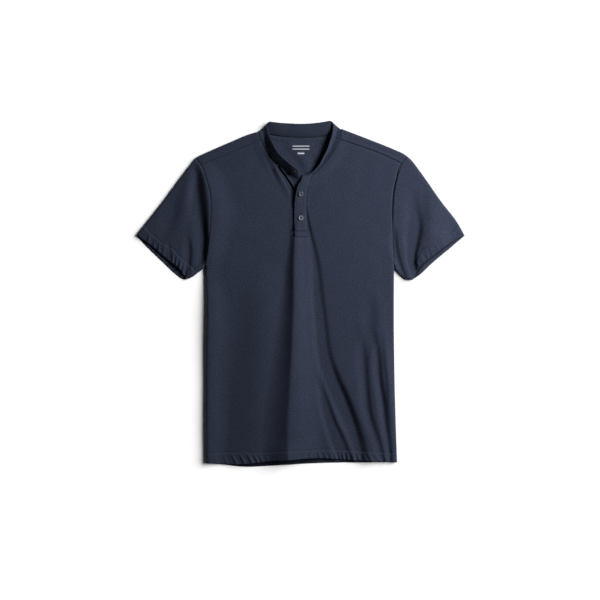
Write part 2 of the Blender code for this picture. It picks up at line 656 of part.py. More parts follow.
def build_button(name, seat, normal, collection):
    """A four-hole button with a raised rim, its flat underside at the seat."""
    mesh = bmesh.new()
    points = [mesh.verts.new((r * MM, 0, z * MM)) for r, z in BUTTON_PROFILE]
    for a, b in zip(points, points[1:]):
        mesh.edges.new((a, b))
    data = bpy.data.meshes.new(name)
    mesh.to_mesh(data)
    mesh.free()
    button = finished(name, data, BUTTON_COLOUR, BUTTON_ROUGHNESS, collection)
    screw = button.modifiers.new("turn", "SCREW")
    screw.steps = screw.render_steps = BUTTON_SIDES
    screw.use_merge_vertices = True
    screw.merge_threshold = POINT_MERGE
    holes = bpy.data.collections[HOLES]
    pose = Matrix.Translation(seat) @ Vector((0, 0, 1)).rotation_difference(normal).to_matrix().to_4x4()
    button.matrix_world = pose
    for k in range(4):
        angle = math.pi / 4 + k * math.pi / 2
        bpy.ops.mesh.primitive_cylinder_add(
            vertices=BUTTON_HOLE_SIDES, radius=BUTTON_HOLE_RADIUS * MM, depth=CUTTER_DEPTH * MM
        )
        cutter = bpy.context.object
        cutter.name = f"{name}_hole_{k}"
        hole = Vector((math.cos(angle), math.sin(angle), 0)) * BUTTON_HOLE_PITCH * math.sqrt(2)
        cutter.matrix_world = pose @ Matrix.Translation((hole + Vector((0, 0, 1))) * MM)
        cutter.hide_render = True
        cutter.display_type = "WIRE"
        for home in list(cutter.users_collection):
            home.objects.unlink(cutter)
        holes.objects.link(cutter)
        boolean = button.modifiers.new(f"hole_{k}", "BOOLEAN")
        boolean.object = cutter
        boolean.operation = "DIFFERENCE"
    return button


def resting_place(centre, height, lift):
    """Seat and normal of a button that lies on a surface: clear of every point under it."""
    turn = np.linspace(0, 2 * math.pi, 12, endpoint=False)
    ring = BUTTON_RADIUS * np.column_stack([np.cos(turn), np.sin(turn)])
    disc = np.vstack([[(0, 0)], 0.5 * ring, ring]) + centre
    z = height(disc)
    slope = np.linalg.lstsq(np.column_stack([disc - disc[0], np.ones(len(disc))]), z, rcond=None)[0]
    normal = Vector((-slope[0], -slope[1], 1)).normalized()
    above = (z - (disc - disc[0]) @ slope[:2]).max() + lift
    return Vector((centre[0] * MM, centre[1] * MM, above * MM)), normal


def band_place(target, lift):
    """Seat and normal of the button on the band, where the band's outer face passes under a plan point."""
    grid = band_surface()[:, : grid_end()]
    flat = np.linalg.norm(grid[:, :, :2] - np.array(target), axis=2)
    row, column = np.unravel_index(np.argmin(flat), flat.shape)
    row = min(max(row, 1), grid.shape[0] - 2)
    column = max(column, 1)
    across = Vector(grid[row + 1, column] - grid[row - 1, column])
    along = Vector(grid[row, column + 1] - grid[row, column - 1])
    normal = across.cross(along).normalized()
    if normal.z < 0:
        normal.negate()
    near = grid[np.linalg.norm(grid - grid[row, column], axis=2) < BUTTON_RADIUS + 2]
    centre = Vector(grid[row, column])
    above = max((Vector(p) - centre).dot(normal) for p in near) + lift
    return (centre + normal * above) * MM, normal


def grid_end():
    """Stations of the band that lie on its left front part."""
    return int(BAND_FRONT / BAND_STEP)


def main():
    for obj in list(bpy.data.objects):
        bpy.data.objects.remove(obj)
    parts = bpy.data.collections.new("henley_shirt")
    holes = bpy.data.collections.new(HOLES)
    holes.hide_render = True
    for collection in (parts, holes):
        bpy.context.scene.collection.children.link(collection)

    build_back(parts)
    build_front(parts)
    cuffs_left = (CUFF_LEFT_UPPER, CUFF_LEFT_LOWER)
    cuffs_right = (CUFF_RIGHT_UPPER, CUFF_RIGHT_LOWER)
    build_sleeve("sleeve_left", armhole_left, sleeve_top_left, cuffs_left, underarm_left, parts)
    build_sleeve("sleeve_right", armhole_right, sleeve_top_right, cuffs_right, underarm_right, parts)
    build_plackets(parts)
    build_band(parts)
    for name, centre in BUTTONS.items():
        build_button(name, *resting_place(centre, placket_height, SEAM_GAP), parts)
    build_button("button_collar", *band_place(COLLAR_BUTTON, SEAM_GAP), parts)


main()
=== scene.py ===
"""Looks of a henley shirt laid flat on its back: its cloth, seams, stitches, buttons, light and camera.

Tables are in millimetres in the shirt's frame: +X to the wearer's left sleeve, +Y to the collar, +Z up.
The front, sleeve tops and shoulder strips are an upper layer over the back and the sleeve backs.
"""

import json
import math

import bmesh
import bpy
import numpy as np
from mathutils import Matrix, Vector
from mathutils.geometry import delaunay_2d_cdt

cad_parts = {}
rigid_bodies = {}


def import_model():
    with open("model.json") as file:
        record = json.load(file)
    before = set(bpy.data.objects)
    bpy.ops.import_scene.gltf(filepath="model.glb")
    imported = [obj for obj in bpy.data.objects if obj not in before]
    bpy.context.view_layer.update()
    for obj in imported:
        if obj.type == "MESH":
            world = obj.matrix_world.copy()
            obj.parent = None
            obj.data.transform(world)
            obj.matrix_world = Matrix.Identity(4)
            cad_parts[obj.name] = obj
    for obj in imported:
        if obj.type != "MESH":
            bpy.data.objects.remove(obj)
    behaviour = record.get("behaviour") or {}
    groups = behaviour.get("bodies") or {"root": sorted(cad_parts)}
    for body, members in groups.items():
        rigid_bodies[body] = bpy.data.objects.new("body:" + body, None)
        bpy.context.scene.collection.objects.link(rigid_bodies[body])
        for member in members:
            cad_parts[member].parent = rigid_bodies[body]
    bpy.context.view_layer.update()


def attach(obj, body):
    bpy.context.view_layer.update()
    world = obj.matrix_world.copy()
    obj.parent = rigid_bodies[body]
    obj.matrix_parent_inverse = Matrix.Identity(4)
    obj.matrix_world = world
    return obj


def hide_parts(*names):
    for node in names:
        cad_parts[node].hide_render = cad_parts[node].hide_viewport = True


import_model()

MM = 0.001

# Cloth, mm
WALL = 1.0  # panels and sleeves
BAND_WALL = 1.9  # the collar band is two layers of cloth
PLACKET_WALL = 1.3
SEAM_GAP = 0.12  # between two pieces
BODY_RISE = 6.4  # top of the upper layer above the surface the shirt lies on
ROLL = 6.0  # plan width of the rounded fold
CLEARANCE = 2.6  # least distance between the outer faces of the two layers
PLACKET_RISE = 0.7  # the upper placket stands above the front panel
UNDER_DROP = 1.4  # the under placket lies below the front panel
BLEND = 1.0  # roundness of the turn where the upper layer settles on the lower one
CREST = 0.06  # share of a pointed fold's width over which its crest is round
CROWN_STEEPNESS = 0.7  # an edge that faces up more than this is at the crown of a fold
STRAIGHT = 0.8  # cosine above which two edges at a point count as one straight edge
MOST_LEAN = 0.5  # an edge whose side leans over its seam draws back for this much lean at most
LEAST_FACING = 0.3  # least share of an edge's way in that is taken to lead away from its seam

# Spacing of the points, mm
LINE_STEP = 4.0  # on the curves of outlines and stitch lines
FOLD_STEP = 6.0  # on the curves of folds
EDGE_STEP = 3.0  # on the edges of the pieces
HEM_STEP = 1.8
PLACKET_EDGE_STEP = 1.5
UPPER_STEP = (3.4, 3.4)
LOWER_STEP = (7.0, 7.0)
SLEEVE_STEP = (2.6, 2.6)
PLACKET_STEP = (1.4, 0.8)
SEAM_STEP = (1.6, 1.6)
SEAM_REACH = 8.0  # how far from a seam the points are at SEAM_STEP
HEM_REACH = 27.0  # the same beside the front hem and the upper edge of a cuff
BACK_HEM_REACH = 12.0
LIP_REACH = 14.0  # the same beside the lower edge of a cuff
INSIDE_REACH = 62.0  # the same round the line INSIDE_CENTRE
EDGE_SPARE = 0.5  # inner points keep this share of a step from the outline
FOLD_SPARE = 0.42  # and this share from the rings of a rounded fold
PLAN_MERGE = 1e-4  # points closer than this are one
POINT_MERGE = 2e-5  # the same in space, metres
ROLL_RINGS = (0.04, 0.12, 0.26, 0.46, 0.7, 1.0)  # rings of points in the rounded fold, as shares of ROLL

# ---- outlines, mm. Columns: x, y
HEM_FRONT = [
    (-206.6, -371.6), (-129.6, -373.4), (-49, -364.6), (48, -360.6), (100, -364.4), (150, -366.6),
    (190, -368), (212.6, -370),
]
HEM_BACK = [
    (-206.6, -371.6), (-178, -374), (-129.6, -379.5), (-33, -375), (64, -371), (145, -370), (212.6, -370),
]
SIDE_LEFT = [(-206.6, -371.6), (-207.4, -150), (-206.4, 0), (-211, 57)]
SIDE_RIGHT = [(212.6, -370), (206.8, -176), (205.4, -20), (206, 59)]
SHOULDER_LEFT = [(-91.5, 357), (-114, 350.6), (-139.9, 339.8), (-200.7, 313.4), (-222, 303.8), (-231, 298.5)]
SHOULDER_RIGHT = [(90, 363), (147.6, 341), (205, 318), (226.5, 308.2), (235, 302.5)]
SLEEVE_TOP_LEFT = [(-231, 298.5), (-235.4, 292.8), (-254.4, 268.4), (-303.4, 202.4), (-361, 130)]
SLEEVE_TOP_RIGHT = [(235, 302.5), (241.8, 296.4), (263.2, 269), (309.6, 203), (346.8, 154), (361, 128)]
UNDERARM_LEFT = [(-211, 57), (-220.4, 50), (-238, 37), (-251, 32)]
UNDERARM_RIGHT = [(206, 59), (219.6, 41.6), (235, 31.5), (246, 31)]
CUFF_LEFT_UPPER = [(-361, 130), (-331.3, 109.4), (-302.5, 84.8), (-286, 71), (-268.4, 58), (-251, 32)]
CUFF_LEFT_LOWER = [(-361, 130), (-343.2, 110), (-302.6, 70.4), (-272, 42), (-260, 33.4), (-251, 32)]
CUFF_RIGHT_UPPER = [
    (361, 128), (334.4, 116), (316.4, 103.6), (298.8, 90.6), (281.2, 76.8), (263.6, 63), (252, 43), (246, 31),
]
CUFF_RIGHT_LOWER = [(361, 128), (338, 109), (291.4, 70.2), (261, 41.4), (246, 31)]
ARMHOLE_LEFT = [
    (-211, 57), (-203.9, 101.2), (-198.2, 150), (-196.4, 185), (-198, 218), (-207.4, 254), (-219.8, 285),
    (-231, 298.5),
]
ARMHOLE_RIGHT = [
    (206, 59), (203.1, 121.7), (201.4, 180), (205, 228.6), (211.2, 257.2), (220.4, 287.5), (235, 302.5),
]
FORWARD_LEFT = [(-87.4, 340.3), (-144.8, 315.3), (-208, 288.8), (-219.8, 285)]
FORWARD_RIGHT = [(85.9, 339.5), (104.5, 333.3), (186.6, 303.4), (220.4, 287.5)]

# Folds of the upper layer. Columns: x, y, height, width at the -X side, width at the +X side
UPPER_FOLDS = {
    "centre_ridge": [
        (-6, 168, 0, 8, 14), (-10.6, 140, 2.4, 11, 20), (-12.3, 107.8, 6.2, 15, 30),
        (-13.8, 52.8, 10.4, 23, 38), (-13.4, -13.2, 13.8, 31, 44), (-15.4, -79.2, 16.8, 39, 52),
        (-18, -145, 19.2, 46, 60), (-21.5, -211, 20.4, 54, 70), (-25, -277, 21, 60, 78),
        (-26, -343, 21, 62, 82), (-26, -400, 21, 62, 84),
    ],
    "valley_b": [
        (10, 196, 0, 8, 4), (14.6, 172, -1.8, 10, 5), (17.7, 149.6, -2.9, 11, 6), (21.6, 127.6, -3.3, 12, 7),
        (26.8, 105.6, -3.6, 14, 9), (30, 83.6, -4.2, 16, 12), (33.7, 52.8, -4.9, 18, 15),
        (35.4, 19.8, -5.5, 20, 17), (38, -13.2, -6.2, 20, 19), (44.4, -79.2, -7.4, 22, 21),
        (51, -132, -8.4, 24, 22), (66, -180, -10, 26, 23), (90, -233, -11.5, 28, 24),
        (117, -306, -11, 28, 24), (127, -345, -10, 26, 24), (136, -400, -8.5, 24, 22),
    ],
    "valley_c": [
        (40, -178, 0, 10, 11), (48, -218, -4.2, 16, 14), (66, -284, -8.2, 20, 18),
        (88.5, -339, -10.5, 24, 24), (112, -400, -9.5, 24, 22),
    ],
    "valley_d_top": [
        (150, 10, 0, 26, 20), (153, -50, -3, 28, 22), (154, -90, -3, 26, 20), (148, -130, -1.4, 22, 14),
        (144, -160, 0, 16, 12),
    ],
    "valley_d": [
        (132, -88, 0, 16, 10), (138, -140, -3.2, 20, 12), (142, -200, -4.2, 20, 13),
        (149, -262, -4.6, 18, 13), (169.5, -328, -3.4, 16, 13), (188, -400, -2.8, 14, 12),
    ],
    "valley_e": [
        (161, -80, 0, 12, 9), (168, -130, -4, 16, 11), (173, -189, -5.6, 16, 11), (180, -237, -6.4, 15, 11),
        (187, -299, -5.4, 13, 10), (193, -337, -4, 11, 9), (199, -400, -3, 10, 8),
    ],
    "right_edge_rise": [
        (182, -60, 0, 12, 14), (188, -130, 2.8, 10, 16), (195, -200, 4.4, 10, 16), (199, -260, 4, 10, 14),
        (204, -330, 2, 9, 12), (207, -400, 1, 8, 10),
    ],
    "low_right_rise": [
        (82, -120, 0, 40, 50), (102, -200, 3.6, 46, 70), (122, -300, 5, 50, 85), (132, -400, 5, 50, 80),
    ],
    "right_swell": [
        (158, 20, 0, 44, 42), (166, -60, 3, 48, 40), (174, -145, 4.6, 50, 36), (180, -220, 5, 50, 32),
        (186, -400, 4, 46, 28),
    ],
    "left_hollow": [
        (-170, 40, 0, 30, 40), (-172, -60, -0.8, 30, 44), (-176, -180, -1.4, 30, 44),
        (-178, -400, -1.2, 30, 44),
    ],
    "left_swell": [
        (-84, 66, 0, 60, 70), (-80, -13, 5, 66, 80), (-84, -145, 6.4, 68, 84), (-93, -277, 6, 70, 84),
        (-100, -400, 3.2, 66, 80),
    ],
    "left_side_roll": [(-199, 60, 0.6, 12, 34), (-197, -100, 0.8, 14, 36), (-197, -400, 0.8, 14, 36)],
    "hem_lift_left": [(-130, -330, 0, 60, 60), (-118, -400, 1.6, 50, 60)],
    "placket_plateau": [
        (4, 262, 2.2, 26, 40), (-9, 224, 2.3, 18, 36), (-14, 185, 2.1, 15, 34), (-13, 130, 1.7, 14, 32),
        (-12, 84, 0, 12, 24),
    ],
    "neck_rise_left": [
        (-4, 245, 2.2, 30, 30), (-44, 272, 2.6, 26, 24), (-74, 304, 2.4, 26, 24), (-90, 345, 1, 24, 20),
    ],
    "neck_rise_right": [
        (20, 250, 2.2, 30, 30), (56, 282, 2.4, 24, 26), (78, 312, 2, 24, 26), (88, 348, 1, 20, 24),
    ],
    "slit_step": [
        (-21, 232, 0, 8, 4), (-18.5, 214, -1.4, 9, 5), (-18.5, 190, -0.8, 9, 5), (-18, 150, -0.3, 9, 5),
        (-17, 124, 0, 8, 5),
    ],
    "slit_ridge": [
        (-78, 303, 0, 9, 6), (-58, 277, 1.8, 11, 7), (-42, 250, 2.2, 11, 7), (-28, 226, 1.6, 9, 6),
        (-21, 205, 0, 8, 6),
    ],
    "slit_hollow": [
        (-80, 306, 0, 10, 7), (-72, 294, -1.8, 10, 8), (-65, 284, -2.4, 10, 8), (-58.3, 268, -2, 10, 8),
        (-51, 254, -0.8, 10, 9), (-45, 242, 0, 10, 9),
    ],
    "armhole_rim_left": [
        (-229, 290, 0.6, 10, 30), (-211.6, 262, 6, 20, 40), (-206, 240, 8, 26, 50),
        (-202.8, 218, 8.6, 28, 56), (-199.6, 196, 8.6, 28, 60), (-198.2, 174, 8.2, 26, 60),
        (-198, 150, 7.6, 20, 60), (-198.6, 130, 7.2, 12, 50), (-200.6, 105, 7, 8, 46), (-205, 75, 5, 7, 36),
        (-211, 57, 1, 6, 30),
    ],
    "armhole_trough_left": [
        (-236, 280, 0, 12, 12), (-228, 262, -1.5, 20, 14), (-226, 240, -3, 26, 18), (-224, 218, -3.4, 30, 20),
        (-221, 196, -3.4, 32, 20), (-216, 160, -3.6, 30, 16), (-212, 130, -3.8, 28, 12),
        (-211.5, 100, -3.8, 26, 9), (-220, 68, -1.8, 14, 8),
    ],
    "sleeve_left_crown": [
        (-238, 282, 0, 14, 12), (-246, 240, 2, 22, 16), (-254, 196, 2.2, 26, 18), (-262, 150, 0.8, 20, 18),
        (-270, 120, 0, 14, 14),
    ],
    "sleeve_left_hollow": [
        (-268, 214, 0, 24, 16), (-284, 172, -2, 32, 22), (-296, 140, -1.6, 26, 18), (-314, 104, -0.8, 16, 14),
    ],
    "sleeve_left_fold": [
        (-248, 130, 0, 12, 7), (-245, 104, -3, 18, 9), (-246, 72, -3.4, 17, 9), (-258, 22, -2.6, 13, 8),
    ],
    "cuff_left_drop": [
        (-362, 131, -0.6, 20, 20), (-331.3, 105.4, -2.2, 26, 26), (-302.5, 80.7, -2.4, 26, 26),
        (-275, 57, -1, 18, 18), (-251, 32, 0, 12, 12),
    ],
    "cuff_left_small_fold": [
        (-292, 118, 0, 7, 6), (-289, 100, -1.4, 9, 7), (-290, 84, -1.2, 9, 7), (-296, 66, 0, 7, 6),
    ],
    "cuff_left_corner_fold": [
        (-318, 134, 0, 7, 6), (-322, 118, -1.2, 9, 7), (-330, 100, -1, 9, 7), (-336, 90, 0, 7, 6),
    ],
    "armhole_trough_right": [
        (233, 300, 0, 2, 3), (219, 281, -2, 2, 3.2), (211.6, 258, -2.6, 2.2, 3.6),
        (206.8, 238, -2.6, 2.2, 3.6), (204.4, 222, -2.4, 2.2, 3.6), (202.6, 196, -2, 2.2, 3.4),
        (202.2, 170, -1.4, 2.2, 3.4), (203.4, 140, -0.6, 2.2, 3.4), (204, 110, 0, 2.2, 3),
    ],
    "cuff_right_band": [
        (350, 138, 0, 10, 10), (322, 116, -0.8, 14, 10), (295, 98, -1.4, 16, 10), (272, 80, -1.2, 14, 10),
        (256, 60, 0, 10, 8),
    ],
    "sleeve_right_fold": [
        (246, 236, 0, 22, 16), (249, 200, -2.6, 28, 18), (251, 172, -5.4, 30, 19), (250.5, 141, -8.4, 30, 22),
        (248.5, 119, -9.4, 28, 19), (245.5, 101, -9.8, 20, 17), (243.5, 83, -10.4, 16, 15),
        (246.5, 60, -9, 14, 12), (257, 32, -5, 12, 6),
    ],
    "sleeve_right_swell": [
        (285, 236, 0, 18, 40), (288, 190, 3.6, 24, 50), (292, 141, 6.2, 32, 50), (302, 110, 7.8, 44, 36),
        (298, 92, 6.6, 42, 26), (286, 70, 3.4, 28, 20),
    ],
    "sleeve_right_step": [
        (274, 160, 0, 18, 24), (274, 138, 2.6, 23, 30), (273, 116, 4.4, 25, 34), (269, 96, 5, 23, 34),
        (265, 76, 4.8, 20, 28), (265, 50, 1.8, 12, 16),
    ],
    "underarm_right_fold": [
        (206, 150, 0, 8, 7), (207, 118, -3.4, 14, 9), (208, 101, -4.2, 14, 10), (211, 84, -4.4, 14, 10),
        (217, 66, -3.6, 12, 9), (228, 38, -2.2, 9, 7),
    ],
}
POINTED = {"centre_ridge": 0.85, "armhole_rim_left": 0.3}
LOWER_FOLDS = {
    "left_side_lift": [
        (-206, 44, 1, 10, 30), (-205, 4, 4.6, 12, 46), (-205, -200, 5.2, 12, 50), (-206, -320, 6, 12, 50),
        (-207, -372, 5, 12, 44), (-207, -400, 4, 12, 40),
    ],
    "cuff_right_lip": [
        (356, 124.6, 1.5, 2.5, 5), (334.4, 110.4, 5, 4.5, 8), (316.4, 97.4, 8.6, 4.4, 9),
        (298.8, 84, 8, 5, 9), (281.2, 70.4, 8, 5, 9), (266, 56.4, 6.6, 5, 9), (254, 38, 0, 3, 8),
    ],
    "hem_lift_centre": [(-34, -318, 0, 44, 40), (-38, -372, 5.2, 52, 46), (-38, -400, 5.4, 52, 46)],
    "hem_lift_right": [(138, -322, 0, 40, 36), (142, -372, 3.6, 48, 40), (142, -400, 3.6, 48, 40)],
}

SLIT_LEFT = [
    (-52.2, 286.4), (-46.4, 273), (-36.8, 260), (-27.2, 246.4), (-19.4, 233), (-15.2, 218), (-14.1, 184.8),
    (-14.1, 162.8), (-12.9, 130), (-12.7, 124.4),
]
PLACKET_LEFT = [
    (3.2, 256.6), (1.2, 249.6), (-5, 239.1), (-9.6, 222.9), (-12.1, 205.3), (-13.6, 178), (-13.4, 155),
    (-12.2, 124.4),
]
PLACKET_RIGHT = [(27.3, 264.4), (20.4, 245), (15.3, 226), (13.9, 205), (15, 160), (15, 124.4)]
PLACKET_FOOT = [(-12.2, 124.4), (15, 124.4)]
SLIT_FOOT = [(-12.7, 124.4), (15, 124.4)]
UNDER_RIGHT = [(-1.5, 252.4), (6, 238), (10, 215), (10.5, 160), (10.5, 130)]
UNDER_FOOT = [(-12.9, 130), (10.5, 130)]

# Stitch lines of the hem and cuffs. Columns: x, y
HEM_STITCH = [
    (-206, -350), (-117.8, -347.6), (-65, -347.6), (-30, -343.8), (8, -343.4), (40, -342.6), (127, -345.5),
    (165, -347.6), (212.6, -350),
]
CUFF_LEFT_STITCH = [
    (-344, 151), (-327.8, 132.6), (-292, 105), (-278, 97), (-265.5, 82.7), (-240, 60), (-228, 46.5),
]
CUFF_RIGHT_STITCH = [
    (343, 149), (334.6, 140), (318, 127.6), (301.7, 119.4), (268.8, 100.9), (248, 66), (230.8, 49.5),
]

# Short folds between a stitch line and its edge. Columns: x at the stitches, x at the edge, height, width
HEM_PUCKERS = [
    (-190, -182, 0.6, 5), (-171, -160, 0.8, 5), (-152, -139, 1.4, 5), (-134, -121, 1.7, 5),
    (-118, -104, 1.9, 5), (-104, -92, 1.6, 4.5), (-92, -82, 1.2, 4), (-78, -70, 0.6, 4), (-50, -46, 0.4, 4),
    (-28, -25, 0.6, 4), (-8, -4, 0.6, 4), (20, 24, 0.8, 4), (39, 43, 1.6, 4), (50, 58, 1.4, 4),
    (62, 70, 1.1, 4), (73, 79, 2, 4), (84, 89, 1.5, 3.5), (91, 96, 2.6, 3.5), (101, 106, 2.6, 3.5),
    (112, 118, 1.8, 4), (123, 130, 1.5, 4), (135, 145, 1.2, 4.5), (146, 159, 1.4, 5), (163, 174, 1.2, 5),
    (181, 190, 0.8, 5), (196, 203, 0.5, 5),
]
CUFF_LEFT_PUCKERS = [
    (-331, -334, 1.6, 3.5), (-320, -322, 1, 3.5), (-309, -311, 1.8, 3.5), (-299, -301, 0.6, 3.5),
    (-289, -291, 0.8, 3.5), (-278, -281, 1.9, 3.2), (-270, -273, 1.8, 3.2), (-262, -266, 2.4, 3.2),
    (-254, -258, 2.2, 3.2), (-245, -250, 1.5, 3.2), (-236, -242, 0.9, 3.2),
]
CUFF_RIGHT_PUCKERS = [
    (240, 250, 0.8, 3.5), (253, 262, 1, 3.5), (262, 270, 0.7, 3.5), (272, 280, 0.8, 3.5),
    (283, 290, 0.6, 3.5), (295, 303, 0.7, 3.5), (308, 316, 0.6, 3.5), (322, 329, 0.6, 3.5),
    (334, 341, 0.4, 3.5),
]

# How a pucker runs. Columns: place from the stitches at 0 to the edge at 1, share of its height, and of its
# width at the -X and the +X side
PUCKER_ROWS = [(0.06, 0, 0.6, 0.6), (0.5, 1, 1, 0.8), (1, 1.1, 1.2, 1), (1.3, 1, 1.3, 1)]

# Turned edges: name, edge, stitch line, puckers
TURNED = [
    ("hem", HEM_FRONT, HEM_STITCH, HEM_PUCKERS),
    ("cuff_left", CUFF_LEFT_UPPER, CUFF_LEFT_STITCH, CUFF_LEFT_PUCKERS),
    ("cuff_right", CUFF_RIGHT_UPPER, CUFF_RIGHT_STITCH, CUFF_RIGHT_PUCKERS),
]

# The collar band from its left front end round the back to its right front end.
# Columns: seam point x, y; top edge x, y; height of the top edge; bulge of the section above its chord;
# share of the section that stays level beside the seam; dip of that level part
BAND = [
    (-1.5, 252.4, -3.4, 272.6, 24, 0, 0, 0), (-14, 256.8, -12.4, 277, 26.5, 0, 0, 0),
    (-30, 268.4, -23.4, 284.6, 27.5, 0, 0, 0), (-44.5, 280, -34.6, 294.6, 26, 0.1, 0, 0),
    (-65.1, 297.4, -50.6, 312, 25, 0.05, 0.04, 0), (-75.5, 314, -58.6, 326, 22.5, 0, 0.16, 0),
    (-82.8, 330, -63.2, 336.5, 19, 0, 0.32, 0.8), (-87.4, 340.3, -67, 347.2, 14.5, 0, 0.42, 1.2),
    (-89.4, 346.5, -69.6, 355, 11.8, 0, 0.5, 1.4), (-90.6, 351.5, -71.4, 362.5, 10.4, 0, 0.52, 1.4),
    (-91.5, 357, -73, 371.5, 9.6, 0, 0.52, 1.3), (-88.4, 356.4, -69.2, 377.4, 9, 0, 0.45, 0.8),
    (-80, 353.9, -60.5, 377.3, 9, 0.4, 0.1, 0), (-65.1, 350.2, -48, 375.8, 9.6, 0.8, 0, 0),
    (-33.4, 345.8, -24, 374.2, 9.6, 0.9, 0, 0), (0, 344.3, 1, 373.2, 9.6, 0.9, 0, 0),
    (40, 346, 33, 375, 9.6, 0.9, 0, 0), (66, 350.8, 54, 377.8, 9.8, 0.8, 0, 0),
    (78.5, 356.2, 62.5, 379.4, 10.5, 0.5, 0.1, 0), (85.6, 360.6, 67.2, 378.6, 11, 0.2, 0.2, 0.4),
    (87.4, 361.6, 70.2, 374.6, 12.4, 0, 0.3, 0.6), (87, 354.6, 71.4, 365.5, 13.6, 0, 0.4, 1),
    (86.6, 347.5, 70.6, 357.5, 14, 0, 0.5, 1.3), (85.9, 339.5, 68.4, 346, 14.6, 0, 0.55, 1.6),
    (81.6, 331, 65.4, 336, 15.4, 0, 0.62, 2.1), (71.6, 312, 58.8, 316.4, 16, 0, 0.66, 2.3),
    (60.5, 297.5, 51, 301, 15.4, 0, 0.66, 2.1), (54, 288.6, 46.6, 292, 14.6, 0, 0.6, 1.7),
    (46.5, 280.6, 42.4, 284.6, 13.6, 0, 0.4, 0.8), (37.5, 272, 34.2, 274.8, 12.2, 0, 0.4, 1),
    (27.3, 264.4, 24.6, 266.8, 11.4, 0, 0.2, 0.5), (15, 259.8, 13.4, 262.6, 10.8, 0, 0, 0),
    (3.2, 256.6, 3.4, 261, 11, 0, 0, 0),
]
BAND_STEP = 2.4
BAND_ROWS = 15
BAND_CROWDING = 0.9  # below 1 the rows are a little closer at the top edge
BAND_LEVEL_MOST = 0.7  # share of the width that is level at most
BAND_DIP_PAST = 0.4  # the dip ends this share of the width past the level part
BAND_EDGE = 1.1  # how far from its edges the band starts to thin
BAND_FOOT_SPARE = 0.6  # it thins less at the seam, by this distance
BAND_END_SPARE = 0.05  # and at its two ends, by this one
BAND_LEAST = 0.02  # square of the share of the wall that is left at an edge
BAND_STITCH_ROWS = (2.6, -2.2)  # mm from the top edge, and from the seam where negative
BAND_STITCH_PULL = 0.16
BAND_STITCH_WIDTH = 0.9

# Button centres. Columns: x, y
BUTTONS = {"button_upper": (1.2, 218.9), "button_lower": (1.2, 166.5)}
COLLAR_BUTTON = (-15.2, 266.9)
BUTTON_RADIUS = 5.6
BUTTON_SIDES = 72
BUTTON_STEP = 0.6  # between the points of its section
BUTTON_LIFT = 0.3  # of its underside above the cloth
COLLAR_BUTTON_LIFT = 0.2
HOLE_RADIUS = 0.8
HOLE_PITCH = 1.45  # from the button's axis to each hole, along both directions
HOLE_SIDES = 16
HOLE_DEPTH = 6.0
SHARP_ANGLE = 40
SEAT_POINTS = 12  # places on each ring where the cloth under a button is measured
BAND_FRONT = 45.0  # length of the band's left front part that carries its button
THREAD_HEIGHT = 1.42  # of the thread's bars above the button's underside
THREAD_SHIFT = 0.22  # of the two bars of a pair from the middle of their holes
THREAD_BAR = (2 * HOLE_PITCH + 0.9, 0.24, 0.5)  # length, radius, arch

# Half section of a button, from its axis above the dish to its axis below. Columns: radius, height
BUTTON_PROFILE = [
    (0, 1.25), (1.5, 1.25), (2.6, 1.3), (3.1, 1.42), (3.5, 1.72), (3.9, 2.02), (4.35, 2.2), (4.8, 2.18),
    (5.2, 1.95), (5.48, 1.55), (5.6, 1.1), (5.5, 0.6), (5.1, 0.2), (4.4, 0), (0, 0),
]

# Seam relief, mm
GROOVE_DEPTH = 0.8
GROOVE_WIDTH = 1.5
WELT = 0.55  # the turnings raise a strip beside the seam
WELT_WIDTH = 5.5
WELT_SOFT = 0.9
HEM_DOUBLE = 0.75  # the turned hem is two layers
DOUBLE_SOFT = 1.2
TURNED_REACH = 40  # the relief of a turned edge lies within this distance of it
STITCH_PULL = 0.75  # stitches pull the cloth down
STITCH_SOFT = 1.3
EDGE_ROUND = 0.45  # a turned edge rounds down by this much
EDGE_ROUND_WIDTH = 1.3

# Placket, mm. PLACKET_LIFT has columns y, lift of the left edge
PLACKET_LIFT = [(124, -0.2), (150, -0.8), (170, -0.8), (188, -0.4), (205, 0.8), (225, 2), (262, 2.2)]
PLACKET_TILT = 24.0
BOX_STEPS = (137.4, 125.0)  # y of the two rows of the box at the foot
BOX_STEP = 1.5
BOX_STEP_SOFT = 1.3
BOX_GROOVE = 1.5
BOX_GROOVE_WIDTH = 1.1
RIDGE_HEIGHT = 0.5  # a low ridge inside the right edge
RIDGE_INSET = 4.4
RIDGE_WIDTH = 1.6
PLACKET_PULL = 0.45
NECK_LIFT = 2.6  # the under placket rises to the band
NECK_LIFT_REACH = 3.6
NECK_LIFT_START = 5
UNDER_SINK = 3.2  # the under placket is sunk beside the slit, less towards its foot
UNDER_SINK_ENDS = ((178, 222), (0.3, 1))  # y, share
UNDER_SINK_WIDTH = 2.6
UNDER_SINK_SOFT = 1.6
UNDER_EDGE = 1.2  # a thin raised edge past the sunk part
UNDER_EDGE_PLACE = 5.2
UNDER_EDGE_WIDTH = 1.4

# Stitch rows of the upper placket. Columns: x, y
PLACKET_STITCHES = [
    [(2, 247), (-2.4, 238), (-6.8, 222.5), (-9.6, 205), (-11, 178), (-10.8, 155), (-10, 140)],
    [(22.5, 256), (16.8, 243), (12.4, 226), (11, 205), (12, 160), (12, 140)],
    [(-9.6, 138.2), (11.6, 138.2)], [(-9.6, 127), (11.6, 127)],
    [(-9.8, 137), (-9.8, 128)], [(12.2, 138), (12.2, 127.4)],
]

